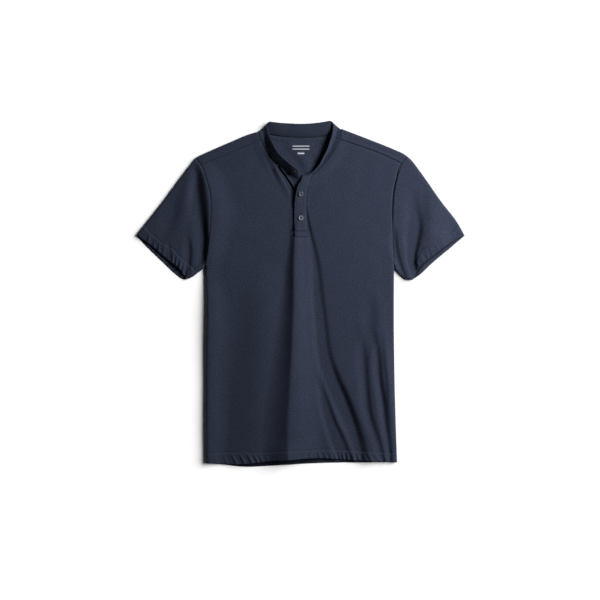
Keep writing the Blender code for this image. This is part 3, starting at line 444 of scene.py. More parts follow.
# Stitches and buttonholes, mm
STITCH = (2.7, 2.1, 0.24)  # pitch, length, radius
PLACKET_STITCH = (2.2, 1.7, 0.2)
PLACKET_STITCH_STEP = 2.0  # on the curves of the placket's rows
STITCH_LIFT = 0.12
STITCH_ARCH = 0.25
STITCH_SPARE = 1.0  # a row stops this far from the ends of its line
ARMHOLE_INSET = 5.0  # of the row from its seam
FORWARD_INSET = 1.6
BAR_RINGS = np.array([-1, -0.75, -0.3, 0.3, 0.75, 1])  # places on a bar, as shares of half its length
BAR_SIDES = 6
BAR_ROUNDNESS = 2.5  # power that rounds a bar towards its ends
BAR_LEAST = 0.08  # square of the share of its radius that is left there
BUTTONHOLE_SHIFT = 1.3  # of a buttonhole from its button, along x
BUTTONHOLE_FOOT = -1.5  # along y from its button, as are the next ones
BUTTONHOLE_TOP = 13.2
TACKS = (-1.7, 13.4)  # places of the bars that close the buttonhole
SLIT_ENDS = (-1.0, 12.8)
RAIL_OFFSET = 0.85  # of the stitched rails from the slit
SATIN_PITCH = 0.5
RAIL_BAR = (1.25, 0.24, 0.1)  # length, radius, arch
TACK_BAR = (2.9, 0.32, 0.1)
# the slit is a near-black bar: painted shadow
SLIT_BAR = (13.6, 0.28, 0)
TACK_HALF = 0.3
RAIL_LIFT = 0.1
TACK_LIFT = 0.15
SLIT_DEPTH = 0.05

# Folds of the back as seen through the neck. Columns as in the fold tables
INSIDE_FOLDS = {
    "inside_ridge": [
        (-40, 346, 0, 14, 20), (-14, 318, 1.6, 18, 26), (6, 294, 2.2, 16, 24), (18, 266, 1.2, 12, 18),
    ],
    "inside_hollow": [(-4, 344, 0, 16, 16), (22, 318, 0.8, 20, 16), (40, 300, 0.4, 14, 12)],
    "seam_rise": [
        (-88, 349, 1.2, 8, 8), (-33, 340, 1, 8, 8), (0, 338, 1, 8, 8), (40, 340, 1, 8, 8),
        (86, 354, 1.2, 8, 8),
    ],
}
INSIDE_CENTRE = [(-22, 322), (22, 322)]  # a line amid what shows of the back

# Bars of the neck print. Columns: centre x, y, length, width
NECK_PRINT = [(1, 325, 38, 2.4), (1, 318.5, 38, 2.4), (1, 309, 16, 3.6)]
PRINT_LIFT = 0.25
PRINT_ROWS = 5
PRINT_LEAST = 0.01  # square of a bar's half width at its ends

# Finish. Shades have columns place, share of the colour
CLOTH_COLOUR = (0.030, 0.0386, 0.069)
# the collar band's knit is the cloth's colour darkened by this share: painted shade
BAND_PAINTED_SHADE = 0.92
SLEEVE_GRAIN = 40  # degrees that a sleeve's grain turns from the body's
WALE = 0.95  # width of a column of loops, mm
COURSE = 0.72  # height of a row of loops, mm
LOOP_LEAN = 0.45  # share of a course by which the sides of a loop lean
COURSE_DEPTH = 0.45  # share of the relief that the courses take
KNIT_BUMP = (0.5, 0.00022)  # strength, distance in metres
FLECK, FINE, BROAD = (4.2, 2.2, 3.0), (1.2, 0.6, 11.0), (26.0, 34.0, 23.0)  # yarn noise: width, height, seed
YARN_SHARE = 0.7  # of the flecks in the heather; the fine noise has the rest
BROAD_SHARE = 0.12  # of the broad mottle on top
HEATHER = [(0.28, 0.6), (0.44, 0.9), (0.56, 1.1), (0.72, 1.75)]
PLAIN_SHADES = [(0.35, 0.9), (0.65, 1.05)]
# Speckled materials: colour, scale of the noise, shades, roughness, specular level, sheen
SPECKLED = {
    "thread": ((0.036, 0.047, 0.078), 2200, [(0.3, 0.75), (0.7, 1.25)], 0.55, 0.4, 0.1),
    "buttonhole_shadow": ((0.004, 0.005, 0.009), 900, PLAIN_SHADES, 0.9, 0.3, 0),
    "neck_print_ink": ((0.62, 0.64, 0.68), 900, PLAIN_SHADES, 0.6, 0.3, 0),
}
# Painted light: each button is a lighter or darker copy of the same resin, the collar button darkest as
# painted shade of the band it lies on
BUTTON_PAINTED_LIGHT = {"button_upper": 0.62, "button_lower": 1.25, "button_collar": 0.12}
SWIRL = 0.14  # of the tones of a button
SWIRL_SCALE = 420
# Its tones from the axis to the rim: dark in the middle, a bright ring round the raised rim that is a painted
# highlight, darker at the edge. Columns: share of the radius, colour
BUTTON_TONES_AND_HIGHLIGHT = [
    (0, (0.03, 0.036, 0.055)), (0.3, (0.035, 0.042, 0.062)), (0.5, (0.14, 0.155, 0.19)),
    (0.88, (0.2, 0.22, 0.26)), (1, (0.06, 0.07, 0.1)),
]

# Light and camera
FLOOR_COLOUR = (0.9, 0.9, 0.9, 1)
FLOOR_Z = -0.0001
SKY_COLOUR = (0.9, 0.95, 1, 1)
LIGHT_DISTANCE = 4
LIGHT_AZIMUTH = 20
LIGHT_ELEVATION = 34
LIGHT_ANGLE = 22
KEY_STRENGTH = 1.05
FLOOR_STRENGTH = 6.3
FLOOR_ANGLE = 44
NEAR_PLACE = (0.9, 0.45, 0.75)
NEAR_STRENGTH = 13.2
NEAR_SIZE = 0.5
FILL_STRENGTH = 0.028
CAMERA_HEIGHT = 3.0
CAMERA_FIELD = 1.32  # side of the square that the camera sees on the floor
CAMERA_AIM = (-0.0008, -0.0132)
SENSOR = 36  # width of the camera's sensor, in the units of its focal length


def spline(rows, step, size_columns=2):
    """Rows at most `step` apart on a smooth curve that keeps the given rows; every column is blended."""
    points = np.array(rows, float)
    gaps = np.linalg.norm(np.diff(points[:, :size_columns], axis=0), axis=1)[:, None]
    slope = np.diff(points, axis=0) / gaps
    tangent = np.empty_like(points)
    tangent[1:-1] = (slope[:-1] * gaps[1:] + slope[1:] * gaps[:-1]) / (gaps[1:] + gaps[:-1])
    if len(points) == 2:
        tangent[:] = slope
    else:
        tangent[0] = 1.5 * slope[0] - 0.5 * tangent[1]
        tangent[-1] = 1.5 * slope[-1] - 0.5 * tangent[-2]
    result = [points[:1]]
    for k, gap in enumerate(gaps[:, 0]):
        u = np.linspace(0, 1, max(1, math.ceil(gap / step)) + 1)[1:, None]
        result.append(
            (2 * u**3 - 3 * u**2 + 1) * points[k] + (u**3 - 2 * u**2 + u) * gap * tangent[k]
            + (3 * u**2 - 2 * u**3) * points[k + 1] + (u**3 - u**2) * gap * tangent[k + 1]
        )
    return np.vstack(result)


def curve(rows):
    return spline(rows, LINE_STEP)


def bell(distance, width):
    """A bump that is 1 at no distance and fades over about its width."""
    return np.exp(-((distance / width) ** 2))


def smooth_step(value):
    value = np.clip(value, 0, 1)
    return value * value * (3 - 2 * value)


def unit(vectors):
    return vectors / np.linalg.norm(vectors, axis=-1, keepdims=True)


def leftwards(line):
    """Unit vectors to the left of a plan line, at each of its points."""
    along = np.gradient(line[:, :2], axis=0)
    return np.column_stack([-along[:, 1], along[:, 0]]) / np.hypot(*along.T)[:, None]


def lengths(line):
    """Distance along a line of points, at each point."""
    return np.r_[0, np.cumsum(np.linalg.norm(np.diff(line[:, :2], axis=0), axis=1))]


def points_at(line, places):
    """Plan points at some distances along a line."""
    t = lengths(line)
    return np.column_stack([np.interp(places, t, line[:, c]) for c in range(2)])


def nearest(points, line):
    """Distance of each point to a line, which side it is on (1 at +X of a line to -Y) and its place."""
    best = np.full(len(points), np.inf)
    side = np.ones(len(points))
    place = np.zeros(len(points))
    for k in range(len(line) - 1):
        a, d = line[k, :2], line[k + 1, :2] - line[k, :2]
        along = np.clip((points - a) @ d / (d @ d), 0, 1)
        off = points - a - along[:, None] * d
        distance = np.hypot(off[:, 0], off[:, 1])
        closer = distance < best
        best[closer] = distance[closer]
        side[closer] = np.sign(d[0] * off[:, 1] - d[1] * off[:, 0])[closer]
        place[closer] = (k + along)[closer]
    return best, side, place


def distance_to(points, lines):
    return np.min([nearest(points, line)[0] for line in lines], axis=0)


def near_line(points, line, reach):
    """Which points are within reach of a line, and their distance, side and place on it."""
    low, high = line[:, :2].min(0) - reach, line[:, :2].max(0) + reach
    inside = np.flatnonzero(np.all((points > low) & (points < high), axis=1))
    if not len(inside):
        return inside, *np.zeros((3, 0))
    distance, side, place = nearest(points[inside], line)
    close = distance < reach
    return inside[close], distance[close], side[close], place[close]


def stretch(line, start, end):
    """The part of a line from one of its own points to another, in that order."""
    first, last = (int(np.argmin(np.linalg.norm(line - p, axis=1))) for p in (start, end))
    return line[first : last + 1] if first < last else line[last : first + 1][::-1]


def spaced(line, step=EDGE_STEP, ring_start=False, ring_end=False):
    """A line at an even step, with extra points where it leaves or meets a rounded fold."""
    whole = lengths(line)[-1]
    near = [ROLL * share for share in ROLL_RINGS] if ring_start else [0.0]
    far = [whole - ROLL * share for share in ROLL_RINGS[::-1]] if ring_end else [whole]
    middle = np.linspace(near[-1], far[0], max(1, round((far[0] - near[-1]) / step)) + 1)
    return points_at(line, np.unique(np.round(np.r_[0, near, middle, far, whole], 4)))


def profile(share, pointed):
    """Section of a fold from its crest at 0 to its foot at 1: a soft one, or one with a narrow crest."""
    share = np.minimum(share, 1)
    soft = 0.5 * (1 + np.cos(np.pi * share))
    reach = math.sqrt(1 + CREST**2) - CREST
    sharp = (1 - (np.sqrt(share**2 + CREST**2) - CREST) / reach) ** 2
    return (1 - pointed) * soft + pointed * sharp


def relief(points, folds):
    """Height added by a table of folds, each a soft ridge or trough along a curve."""
    total = np.zeros(len(points))
    for name, rows in folds.items():
        line = spline(rows, FOLD_STEP)
        inside, distance, side, place = near_line(points, line, line[:, 3:5].max())
        row = np.arange(len(line))
        height, minus, plus = (np.interp(place, row, line[:, c]) for c in (2, 3, 4))
        share = distance / np.where(side > 0, plus, minus)
        total[inside] += height * profile(share, POINTED.get(name, 0) * (side < 0))
    return total


def pucker_folds():
    """A table of the short folds that run from the stitch lines to the edges; both are read by x."""
    folds = {}
    for name, edge, stitch, rows in TURNED:
        stitch, edge = (line[np.argsort(line[:, 0])] for line in (curve(stitch), curve(edge)))
        for k, (x_stitch, x_edge, height, width) in enumerate(rows):
            top = np.array([x_stitch, np.interp(x_stitch, stitch[:, 0], stitch[:, 1])])
            foot = np.array([x_edge, np.interp(x_edge, edge[:, 0], edge[:, 1])])
            folds[f"{name}_{k}"] = [
                (*(top + place * (foot - top)), height * share, width * minus, width * plus)
                for place, share, minus, plus in PUCKER_ROWS
            ]
    return folds


PUCKERS = pucker_folds()
FOLD_LINES = [
    curve(rows)
    for rows in (
        SIDE_LEFT, SIDE_RIGHT, SHOULDER_LEFT, SHOULDER_RIGHT,
        SLEEVE_TOP_LEFT, SLEEVE_TOP_RIGHT, UNDERARM_LEFT, UNDERARM_RIGHT,
    )
]
NECK_LINE = curve([row[:2] for row in BAND])

# Seams of the upper layer: the line, and the side that carries the raised turnings (0 for none)
SEAMS = [
    (curve(ARMHOLE_LEFT), 0), (curve(ARMHOLE_RIGHT), 0), (curve(FORWARD_LEFT), -1),
    (curve(FORWARD_RIGHT), 1), (NECK_LINE, 0),
]

placket_stitches = [spline(rows, PLACKET_STITCH_STEP) for rows in PLACKET_STITCHES]


def fine_relief(points):
    """Height of the seams, turned edges, stitch lines and puckers of the upper layer."""
    total = relief(points, PUCKERS)
    for line, welt_side in SEAMS:
        inside, distance, side, _ = near_line(points, line, WELT_WIDTH + 3 * WELT_SOFT)
        total[inside] -= GROOVE_DEPTH * bell(distance, GROOVE_WIDTH)
        if welt_side:
            raised = smooth_step((WELT_WIDTH - distance) / WELT_SOFT + 0.5) * (side * welt_side > 0)
            total[inside] += WELT * raised * smooth_step(distance / GROOVE_WIDTH)
    for _, edge, stitch, _ in TURNED:
        edge, stitch = curve(edge), curve(stitch)
        inside, distance, _, _ = near_line(points, edge, TURNED_REACH)
        to_stitch, side, _ = nearest(points[inside], stitch)
        edge_side = nearest(edge[len(edge) // 2][None], stitch)[1][0]
        doubled = (distance < 0.5 * HEM_REACH) | (side * edge_side > 0)
        total[inside] += HEM_DOUBLE * smooth_step(to_stitch / DOUBLE_SOFT) * doubled
        total[inside] -= STITCH_PULL * bell(to_stitch, STITCH_SOFT)
        total[inside] -= EDGE_ROUND * (1 - np.minimum(distance / EDGE_ROUND_WIDTH, 1)) ** 2
    return total


def layers(points, fine=True):
    """Heights of the upper and the lower outer face at each plan point."""
    low = np.maximum(relief(points, LOWER_FOLDS), 0)
    spread = BODY_RISE + relief(points, UPPER_FOLDS) - CLEARANCE
    high = low + CLEARANCE + 0.5 * (spread + np.sqrt(spread**2 + BLEND**2))
    if fine:
        high += fine_relief(points)
    share = np.clip(distance_to(points, FOLD_LINES) / ROLL, 0, 1)
    bulge = np.sqrt(1 - (1 - share) ** 2)
    middle = 0.5 * (high + low)
    return middle + (high - middle) * bulge, middle - (middle - low) * bulge


def upper(points):
    return layers(points)[0]


def lower(points):
    return layers(points, False)[1] + relief(points, INSIDE_FOLDS)


def inside_outline(points, outline):
    """Which points lie inside a closed outline."""
    x, y = points[:, 0], points[:, 1]
    found = np.zeros(len(points), bool)
    for (x1, y1), (x2, y2) in zip(outline, np.roll(outline, -1, axis=0)):
        if y1 != y2:
            found ^= ((y1 > y) != (y2 > y)) & (x < (x2 - x1) * (y - y1) / (y2 - y1) + x1)
    return found


def ring_lines(outline, folds):
    """Lines of points beside each rounded fold, which carry its round section."""
    lines = []
    for fold in folds:
        normal = leftwards(fold)
        middle = len(fold) // 2
        if not inside_outline(fold[middle : middle + 1] + normal[middle] * ROLL, outline)[0]:
            normal = -normal
        for share in ROLL_RINGS:
            ring = fold + normal * ROLL * share
            for end in (0, -1):
                to_outline = np.linalg.norm(outline - ring[end], axis=1)
                if to_outline.min() < ROLL * share:
                    ring[end] = outline[to_outline.argmin()]
            lines.append(ring)
    return lines


def staggered(low, high, step):
    """A grid of points with every second row moved by half a step."""
    x, y = np.meshgrid(*(np.arange(low[c], high[c] + step[c], step[c]) for c in range(2)))
    x[1::2] += step[0] / 2
    return np.column_stack([x.ravel(), y.ravel()])


def fill_points(outline, step, folds, dense):
    """Points inside an outline, clear of its edge and rounded folds, and closer together at some lines."""
    closed = np.vstack([outline, outline[:1]])
    kept = []
    for fine in (False, True) if dense else (False,):
        pitch = SEAM_STEP if fine else step
        grid = staggered(outline.min(0), outline.max(0), pitch)
        if dense:
            close = np.zeros(len(grid), bool)
            for line, reach in dense:
                close[near_line(grid, line, reach)[0]] = True
            grid = grid[close == fine]
        grid = grid[inside_outline(grid, outline)]
        grid = grid[distance_to(grid, [closed]) > EDGE_SPARE * min(pitch)]
        if folds:
            grid = grid[distance_to(grid, folds) > ROLL + FOLD_SPARE * min(pitch)]
        kept.append(grid)
    return np.vstack(kept)


def triangles(outline, inner, lines):
    """Plan points and triangles of an outline filled with inner points and lines of points."""
    flat = [Vector(p) for p in np.vstack([outline, inner, *lines])]
    edges = []
    start = len(outline) + len(inner)
    for line in lines:
        edges += [(start + k, start + k + 1) for k in range(len(line) - 1)]
        start += len(line)
    border = [list(range(len(outline)))]
    verts, _, faces, *_ = delaunay_2d_cdt(flat, edges, border, 1, PLAN_MERGE)
    return np.array([tuple(v) for v in verts]), faces


def seam_plane(inward):
    """Normal of the plane between two pieces: level at the crown of a fold, upright elsewhere."""
    if abs(inward.z) > CROWN_STEEPNESS:
        return Vector((0, 0, -math.copysign(1, inward.z)))
    return Vector((-inward.x, -inward.y, 0)).normalized()


def pull_in_edges(mesh, wall):
    """Moves the open edges of a surface inwards, along the surface, by half a seam gap."""
    mesh.normal_update()
    pulls = {}
    for edge in mesh.edges:
        if not edge.is_boundary:
            continue
        loop = edge.link_loops[0]
        along = loop.link_loop_next.vert.co - loop.vert.co
        inward = loop.face.normal.cross(along).normalized()
        plane = seam_plane(inward)
        for vert in edge.verts:
            lean = max(0.0, -vert.normal.dot(plane), -loop.face.normal.dot(plane))
            back = 0.5 * SEAM_GAP + 0.5 * wall * min(lean, MOST_LEAN)
            pulls.setdefault(vert, []).append((inward, back / max(-inward.dot(plane), LEAST_FACING)))
    for vert, found in pulls.items():
        (first, d1), (second, d2) = found[0], found[-1]
        shared = first.dot(second)
        if shared > STRAIGHT:
            middle = (first + second).normalized()
            vert.co += middle * max(d1, d2) / middle.dot(first) * MM
        else:
            scale = MM / (1 - shared**2)
            vert.co += (first * (d1 - shared * d2) + second * (d2 - shared * d1)) * scale


def place_object(name, data):
    """A new object in the scene."""
    obj = bpy.data.objects.new(name, data)
    bpy.context.scene.collection.objects.link(obj)
    return obj


def add_object(name, mesh, material, wall=0.0):
    """An object made of a mesh, with a wall under its surface if it has one."""
    data = bpy.data.meshes.new(name)
    mesh.to_mesh(data)
    mesh.free()
    data.materials.append(material)
    data.shade_smooth()
    obj = place_object(name, data)
    if wall:
        solidify = obj.modifiers.new("wall", "SOLIDIFY")
        solidify.thickness = wall * MM
        solidify.offset = -1
        solidify.use_even_offset = False
        solidify.use_quality_normals = True
    return obj


def cloth(name, sheets, wall, material, turn=0.0):
    """One piece of cloth: plan sheets lifted to their layer, joined at folds and given their wall.

    Its UVs are plan coordinates in metres along the cloth's grain, turned by an angle.
    """
    mesh = bmesh.new()
    for points, faces, height, faces_up in sheets:
        verts = [mesh.verts.new((x * MM, y * MM, z * MM)) for (x, y), z in zip(points, height(points))]
        for face in faces:
            made = mesh.faces.new([verts[i] for i in face])
            made.normal_update()
            if (made.normal.z > 0) != faces_up:
                made.normal_flip()
    bmesh.ops.remove_doubles(mesh, verts=mesh.verts, dist=POINT_MERGE)
    pull_in_edges(mesh, wall)
    uv = mesh.loops.layers.uv.new("grain")
    cos, sin = math.cos(turn), math.sin(turn)
    for face in mesh.faces:
        for loop in face.loops:
            x, y, _ = loop.vert.co
            loop[uv].uv = (cos * x + sin * y, cos * y - sin * x)
    return add_object(name, mesh, material, wall)


def sheet(outline, step, folds, height, faces_up, dense=()):
    """One layer of a piece, from its closed outline."""
    inner = fill_points(outline, step, folds, dense)
    points, faces = triangles(outline, inner, ring_lines(outline, folds))
    return points, faces, height, faces_up


def loop_of(*stretches):
    """A closed outline from stretches that follow on from each other."""
    return np.vstack([line[:-1] for line in stretches])


def armhole(rows, junction):
    """An armhole seam from the armpit to the shoulder tip, by way of the forward shoulder seam."""
    whole = curve(rows)
    return np.vstack([
        spaced(stretch(whole, rows[0], junction), ring_start=True)[:-1],
        spaced(stretch(whole, junction, rows[-1]), ring_end=True),
    ])


# The shared edges, each resampled once so that neighbours meet point to point
(
    side_left, side_right, shoulder_left, shoulder_right,
    sleeve_top_left, sleeve_top_right, underarm_left, underarm_right,
) = map(spaced, FOLD_LINES)
forward_left, forward_right = spaced(curve(FORWARD_LEFT)), spaced(curve(FORWARD_RIGHT))
slit_left, placket_left, placket_right = (
    spaced(curve(rows), PLACKET_EDGE_STEP) for rows in (SLIT_LEFT, PLACKET_LEFT, PLACKET_RIGHT)
)
armhole_left = armhole(ARMHOLE_LEFT, FORWARD_LEFT[-1])
armhole_right = armhole(ARMHOLE_RIGHT, FORWARD_RIGHT[-1])
band_stations = spline(BAND, BAND_STEP, 5)
neckline = band_stations[:, :2]


def build_front(material):
    outline = loop_of(
        spaced(curve(HEM_FRONT), HEM_STEP, True, True),
        side_right,
        stretch(armhole_right, ARMHOLE_RIGHT[0], FORWARD_RIGHT[-1]),
        forward_right[::-1],
        stretch(neckline, FORWARD_RIGHT[0], PLACKET_RIGHT[0]),
        placket_right,
        spaced(curve(SLIT_FOOT)[::-1]),
        slit_left[::-1],
        stretch(neckline, SLIT_LEFT[0], FORWARD_LEFT[0]),
        forward_left,
        stretch(armhole_left, FORWARD_LEFT[-1], ARMHOLE_LEFT[0]),
        side_left[::-1],
    )
    dense = [(line, SEAM_REACH) for line in (*(line for line, _ in SEAMS), slit_left, placket_right)]
    dense.append((curve(HEM_FRONT), HEM_REACH))
    panel = sheet(outline, UPPER_STEP, [side_left, side_right], upper, True, dense)
    return cloth("front_cloth", [panel], WALL, material)


def build_back(material):
    """The back panel, and the strips that come over the shoulders to the forward seams."""
    panel = loop_of(
        spaced(curve(HEM_BACK), EDGE_STEP, True, True),
        side_right,
        armhole_right,
        shoulder_right[::-1],
        stretch(neckline, SHOULDER_RIGHT[0], SHOULDER_LEFT[0]),
        shoulder_left,
        armhole_left[::-1],
        side_left[::-1],
    )
    folds = [side_left, side_right, shoulder_left, shoulder_right]
    dense = [(curve(HEM_BACK), BACK_HEM_REACH), (np.array(INSIDE_CENTRE, float), INSIDE_REACH)]
    sheets = [sheet(panel, LOWER_STEP, folds, lower, False, dense)]
    for shoulder, armhole_line, forward in (
        (shoulder_left, armhole_left, forward_left),
        (shoulder_right, armhole_right, forward_right),
    ):
        strip = loop_of(
            shoulder,
            stretch(armhole_line, shoulder[-1], forward[-1]),
            forward[::-1],
            stretch(neckline, forward[0], shoulder[0]),
        )
        sheets.append(sheet(strip, SEAM_STEP, [shoulder], upper, True))
    return cloth("back_cloth", sheets, WALL, material)


def build_sleeve(name, armhole_line, top, cuffs, underarm, material, turn):
    sheets = []
    for cuff, height, faces_up in zip(map(curve, cuffs), (upper, lower), (True, False)):
        outline = loop_of(top, spaced(cuff, HEM_STEP, True, True), underarm[::-1], armhole_line)
        step = SLEEVE_STEP if faces_up else LOWER_STEP
        dense = [(cuff, HEM_REACH), (armhole_line, SEAM_REACH)] if faces_up else [(cuff, LIP_REACH)]
        sheets.append(sheet(outline, step, [top, underarm], height, faces_up, dense))
    return cloth(name, sheets, WALL, material, turn)


def placket_height(points):
    """Top of the upper placket: its left edge stands off the front, and its foot steps down twice."""
    y = points[:, 1]
    tilt = 1 - smooth_step(distance_to(points, [placket_left]) / PLACKET_TILT)
    high = upper(points) + PLACKET_RISE + np.interp(y, *np.transpose(PLACKET_LIFT)) * tilt
    for step_y in BOX_STEPS:
        high += BOX_STEP * smooth_step((y - step_y) / BOX_STEP_SOFT)
        high -= BOX_GROOVE * bell(y - step_y, BOX_GROOVE_WIDTH)
    right_x = np.interp(y, placket_right[::-1, 1], placket_right[::-1, 0])
    high += RIDGE_HEIGHT * bell(points[:, 0] - right_x + RIDGE_INSET, RIDGE_WIDTH) * (y > BOX_STEPS[0])
    for edge in (placket_left, placket_right):
        inside, distance, _, _ = near_line(points, edge, EDGE_ROUND_WIDTH)
        high[inside] -= EDGE_ROUND * (1 - distance / EDGE_ROUND_WIDTH) ** 2
    for line in placket_stitches:
        inside, distance, _, _ = near_line(points, line, 3 * STITCH_SOFT)
        high[inside] -= PLACKET_PULL * bell(distance, STITCH_SOFT)
    return high


def under_height(points):
    """The under placket: sunk beside the slit, with a thin raised edge past that."""
    to_slit = distance_to(points, [slit_left])
    sunk = 1 - smooth_step((to_slit - UNDER_SINK_WIDTH) / UNDER_SINK_SOFT)
    sunk *= UNDER_SINK * np.interp(points[:, 1], *UNDER_SINK_ENDS)
    edge = UNDER_EDGE * bell(to_slit - UNDER_EDGE_PLACE, UNDER_EDGE_WIDTH)
    rise = NECK_LIFT * bell(distance_to(points, [NECK_LINE]), NECK_LIFT_REACH)
    return upper(points) - UNDER_DROP - sunk + edge + rise * smooth_step(to_slit / NECK_LIFT_START)


def build_plackets(material):
    top = loop_of(
        stretch(neckline, PLACKET_LEFT[0], PLACKET_RIGHT[0]),
        placket_right,
        spaced(curve(PLACKET_FOOT)[::-1], PLACKET_STEP[0]),
        placket_left[::-1],
    )
    under = loop_of(
        stretch(neckline, SLIT_LEFT[0], UNDER_RIGHT[0]),
        spaced(curve(UNDER_RIGHT)),
        spaced(curve(UNDER_FOOT)[::-1], PLACKET_STEP[0]),
        stretch(slit_left, SLIT_LEFT[-2], SLIT_LEFT[0]),
    )
    made = []
    for name, outline, height in (
        ("placket_top", top, placket_height),
        ("placket_under", under, under_height),
    ):
        panel = sheet(outline, PLACKET_STEP, [], height, True)
        made.append(cloth(f"{name}_cloth", [panel], PLACKET_WALL, material))
    return made


def band_surface():
    """Middle of the collar band as a grid: rows from seam to top edge, stations along the seam."""
    top = band_stations[:, 2:5]
    bulge, level, dip = band_stations[:, 5:8].T
    left, right = (
        int(np.argmin(np.linalg.norm(neckline - rows[0], axis=1))) for rows in (SHOULDER_LEFT, SHOULDER_RIGHT)
    )
    place = np.arange(len(neckline))
    high, low = layers(neckline)
    seam_z = np.where((place > left) & (place < right), low + WALL, high)
    seam_z[(place < left) & (neckline[:, 0] > SLIT_LEFT[0][0] + SEAM_GAP)] += NECK_LIFT - UNDER_DROP
    foot = np.column_stack([neckline, seam_z])
    share = np.linspace(0, 1, BAND_ROWS)[:, None] ** BAND_CROWDING
    plan = (1 - share[..., None]) * foot + share[..., None] * top
    level = np.clip(level, 0, BAND_LEVEL_MOST)
    bulge = np.clip(bulge, 0, 1)
    climb = np.clip((share - level) / (1 - level), 0, 1)
    climb = bulge * (1 - (1 - climb) ** 3) + (1 - bulge) * climb
    sunk = np.maximum(dip, 0) * np.sin(math.pi * np.clip(share / (level + BAND_DIP_PAST), 0, 1))
    plan[:, :, 2] = foot[:, 2] + (top[:, 2] - foot[:, 2]) * climb - sunk
    return plan


def build_band(material):
    """The band: both faces of a strip that thins to round edges all round."""
    grid = band_surface()
    normal = unit(np.cross(np.gradient(grid, axis=0), np.gradient(grid, axis=1)))
    up = np.cumsum(np.r_[np.zeros((1, grid.shape[1])), np.linalg.norm(np.diff(grid, axis=0), axis=2)], axis=0)
    run = lengths(band_stations)
    from_top = up[-1] - up
    to_edge = np.minimum(from_top, up + BAND_FOOT_SPARE)
    to_edge = np.minimum(to_edge, np.minimum(run, run[-1] - run) + BAND_END_SPARE)
    depth = np.clip(1 - to_edge / BAND_EDGE, 0, 1)
    half = 0.5 * BAND_WALL * np.sqrt(np.maximum(1 - depth**2, BAND_LEAST))
    for place in BAND_STITCH_ROWS:
        distance = from_top - place if place > 0 else up + place
        half = half - BAND_STITCH_PULL * bell(distance, BAND_STITCH_WIDTH)
    mesh = bmesh.new()
    verts = [
        [[mesh.verts.new(p) for p in row] for row in (grid + side * normal * half[:, :, None]) * MM]
        for side in (1, -1)
    ]
    rows, columns = grid.shape[:2]
    squares = [
        [(j, i), (j + 1, i), (j + 1, i + 1), (j, i + 1)] for j in range(rows - 1) for i in range(columns - 1)
    ]
    border = [(0, i) for i in range(columns)] + [(j, columns - 1) for j in range(1, rows)]
    border += [(rows - 1, i) for i in range(columns - 2, -1, -1)] + [(j, 0) for j in range(rows - 2, 0, -1)]
    faces = [[(0, *corner) for corner in square] for square in squares]
    faces += [[(1, *corner) for corner in square[::-1]] for square in squares]
    faces += [[(0, *a), (0, *b), (1, *b), (1, *a)] for a, b in zip(border, border[1:] + border[:1])]
    uv = mesh.loops.layers.uv.new("grain")
    for face in faces:
        made = mesh.faces.new([verts[side][j][i] for side, j, i in face])
        for loop, (_, j, i) in zip(made.loops, face):
            loop[uv].uv = (up[j, i] * MM, run[i] * MM)
    bmesh.ops.recalc_face_normals(mesh, faces=mesh.faces)
    return add_object("collar_band_cloth", mesh, material)


def frames_along(line, height, pitch, spare=0.0):
    """Places `pitch` apart along a plan line on a surface: centres, directions and normals."""
    def on_surface(points):
        return np.column_stack([points, height(points)])

    whole = lengths(line)[-1]
    count = max(1, int((whole - 2 * spare) / pitch))
    places = whole / 2 + (np.arange(count) - (count - 1) / 2) * pitch
    plan = points_at(line, places)
    along = unit(on_surface(points_at(line, places + 0.5)) - on_surface(points_at(line, places - 0.5)))
    cross = unit(np.column_stack([-along[:, 1], along[:, 0]]))
    side = on_surface(plan + 0.5 * cross) - on_surface(plan - 0.5 * cross)
    return on_surface(plan), along, unit(np.cross(along, side))


def bars(name, groups, material):
    """One mesh of short thread bars. Each group: centres, directions, normals, length, radius, arch."""
    turn = np.arange(BAR_SIDES) * 2 * math.pi / BAR_SIDES
    rings = BAR_RINGS[:, None]
    round_end = np.sqrt(np.maximum(1 - np.abs(rings) ** BAR_ROUNDNESS, BAR_LEAST))
    mesh = bmesh.new()
    for centres, along, normal, length, radius, arch in groups:
        parts = (
            (rings * np.full(BAR_SIDES, 0.5 * length), along),
            (round_end * np.cos(turn) * radius, np.cross(normal, along)),
            (round_end * np.sin(turn) * radius - arch * rings**2, normal),
        )
        shapes = centres[:, None, None] + sum(part[..., None] * to[:, None, None] for part, to in parts)
        for shape in shapes * MM:
            loops = [[mesh.verts.new(p) for p in ring] for ring in shape]
            for low, high in zip(loops, loops[1:]):
                for face in zip(low, low[1:] + low[:1], high[1:] + high[:1], high):
                    mesh.faces.new(face)
            mesh.faces.new(loops[0][::-1])
            mesh.faces.new(loops[-1])
    bmesh.ops.recalc_face_normals(mesh, faces=mesh.faces)
    return add_object(name, mesh, material)


def build_stitches(thread):
    """Rows of stitches, by the node whose piece carries them."""
    def row(line, height, pitch, length, radius):
        centres, along, normal = frames_along(line, height, pitch, STITCH_SPARE)
        return centres + STITCH_LIFT * normal, along, normal, length, radius, STITCH_ARCH

    def beside(rows, first, last, distance):
        line = curve(rows)[first:last]
        return line + distance * leftwards(line)

    armholes = [beside(rows, 2, -3, -ARMHOLE_INSET) for rows in (ARMHOLE_LEFT, ARMHOLE_RIGHT)]
    forwards = [beside(FORWARD_LEFT, 1, -2, -FORWARD_INSET), beside(FORWARD_RIGHT, 1, -2, FORWARD_INSET)]
    made = {}
    for node, name, lines, height, stitch in (
        ("front", "front_stitches", [curve(HEM_STITCH), *armholes], upper, STITCH),
        ("back", "shoulder_stitches", forwards, upper, STITCH),
        ("sleeve_left", "cuff_left_stitches", [curve(CUFF_LEFT_STITCH)[1:-1]], upper, STITCH),
        ("sleeve_right", "cuff_right_stitches", [curve(CUFF_RIGHT_STITCH)[1:-1]], upper, STITCH),
        ("placket_top", "placket_stitches", placket_stitches, placket_height, PLACKET_STITCH),
    ):
        made[node] = [bars(name, [row(line, height, *stitch) for line in lines], thread)]
    return made


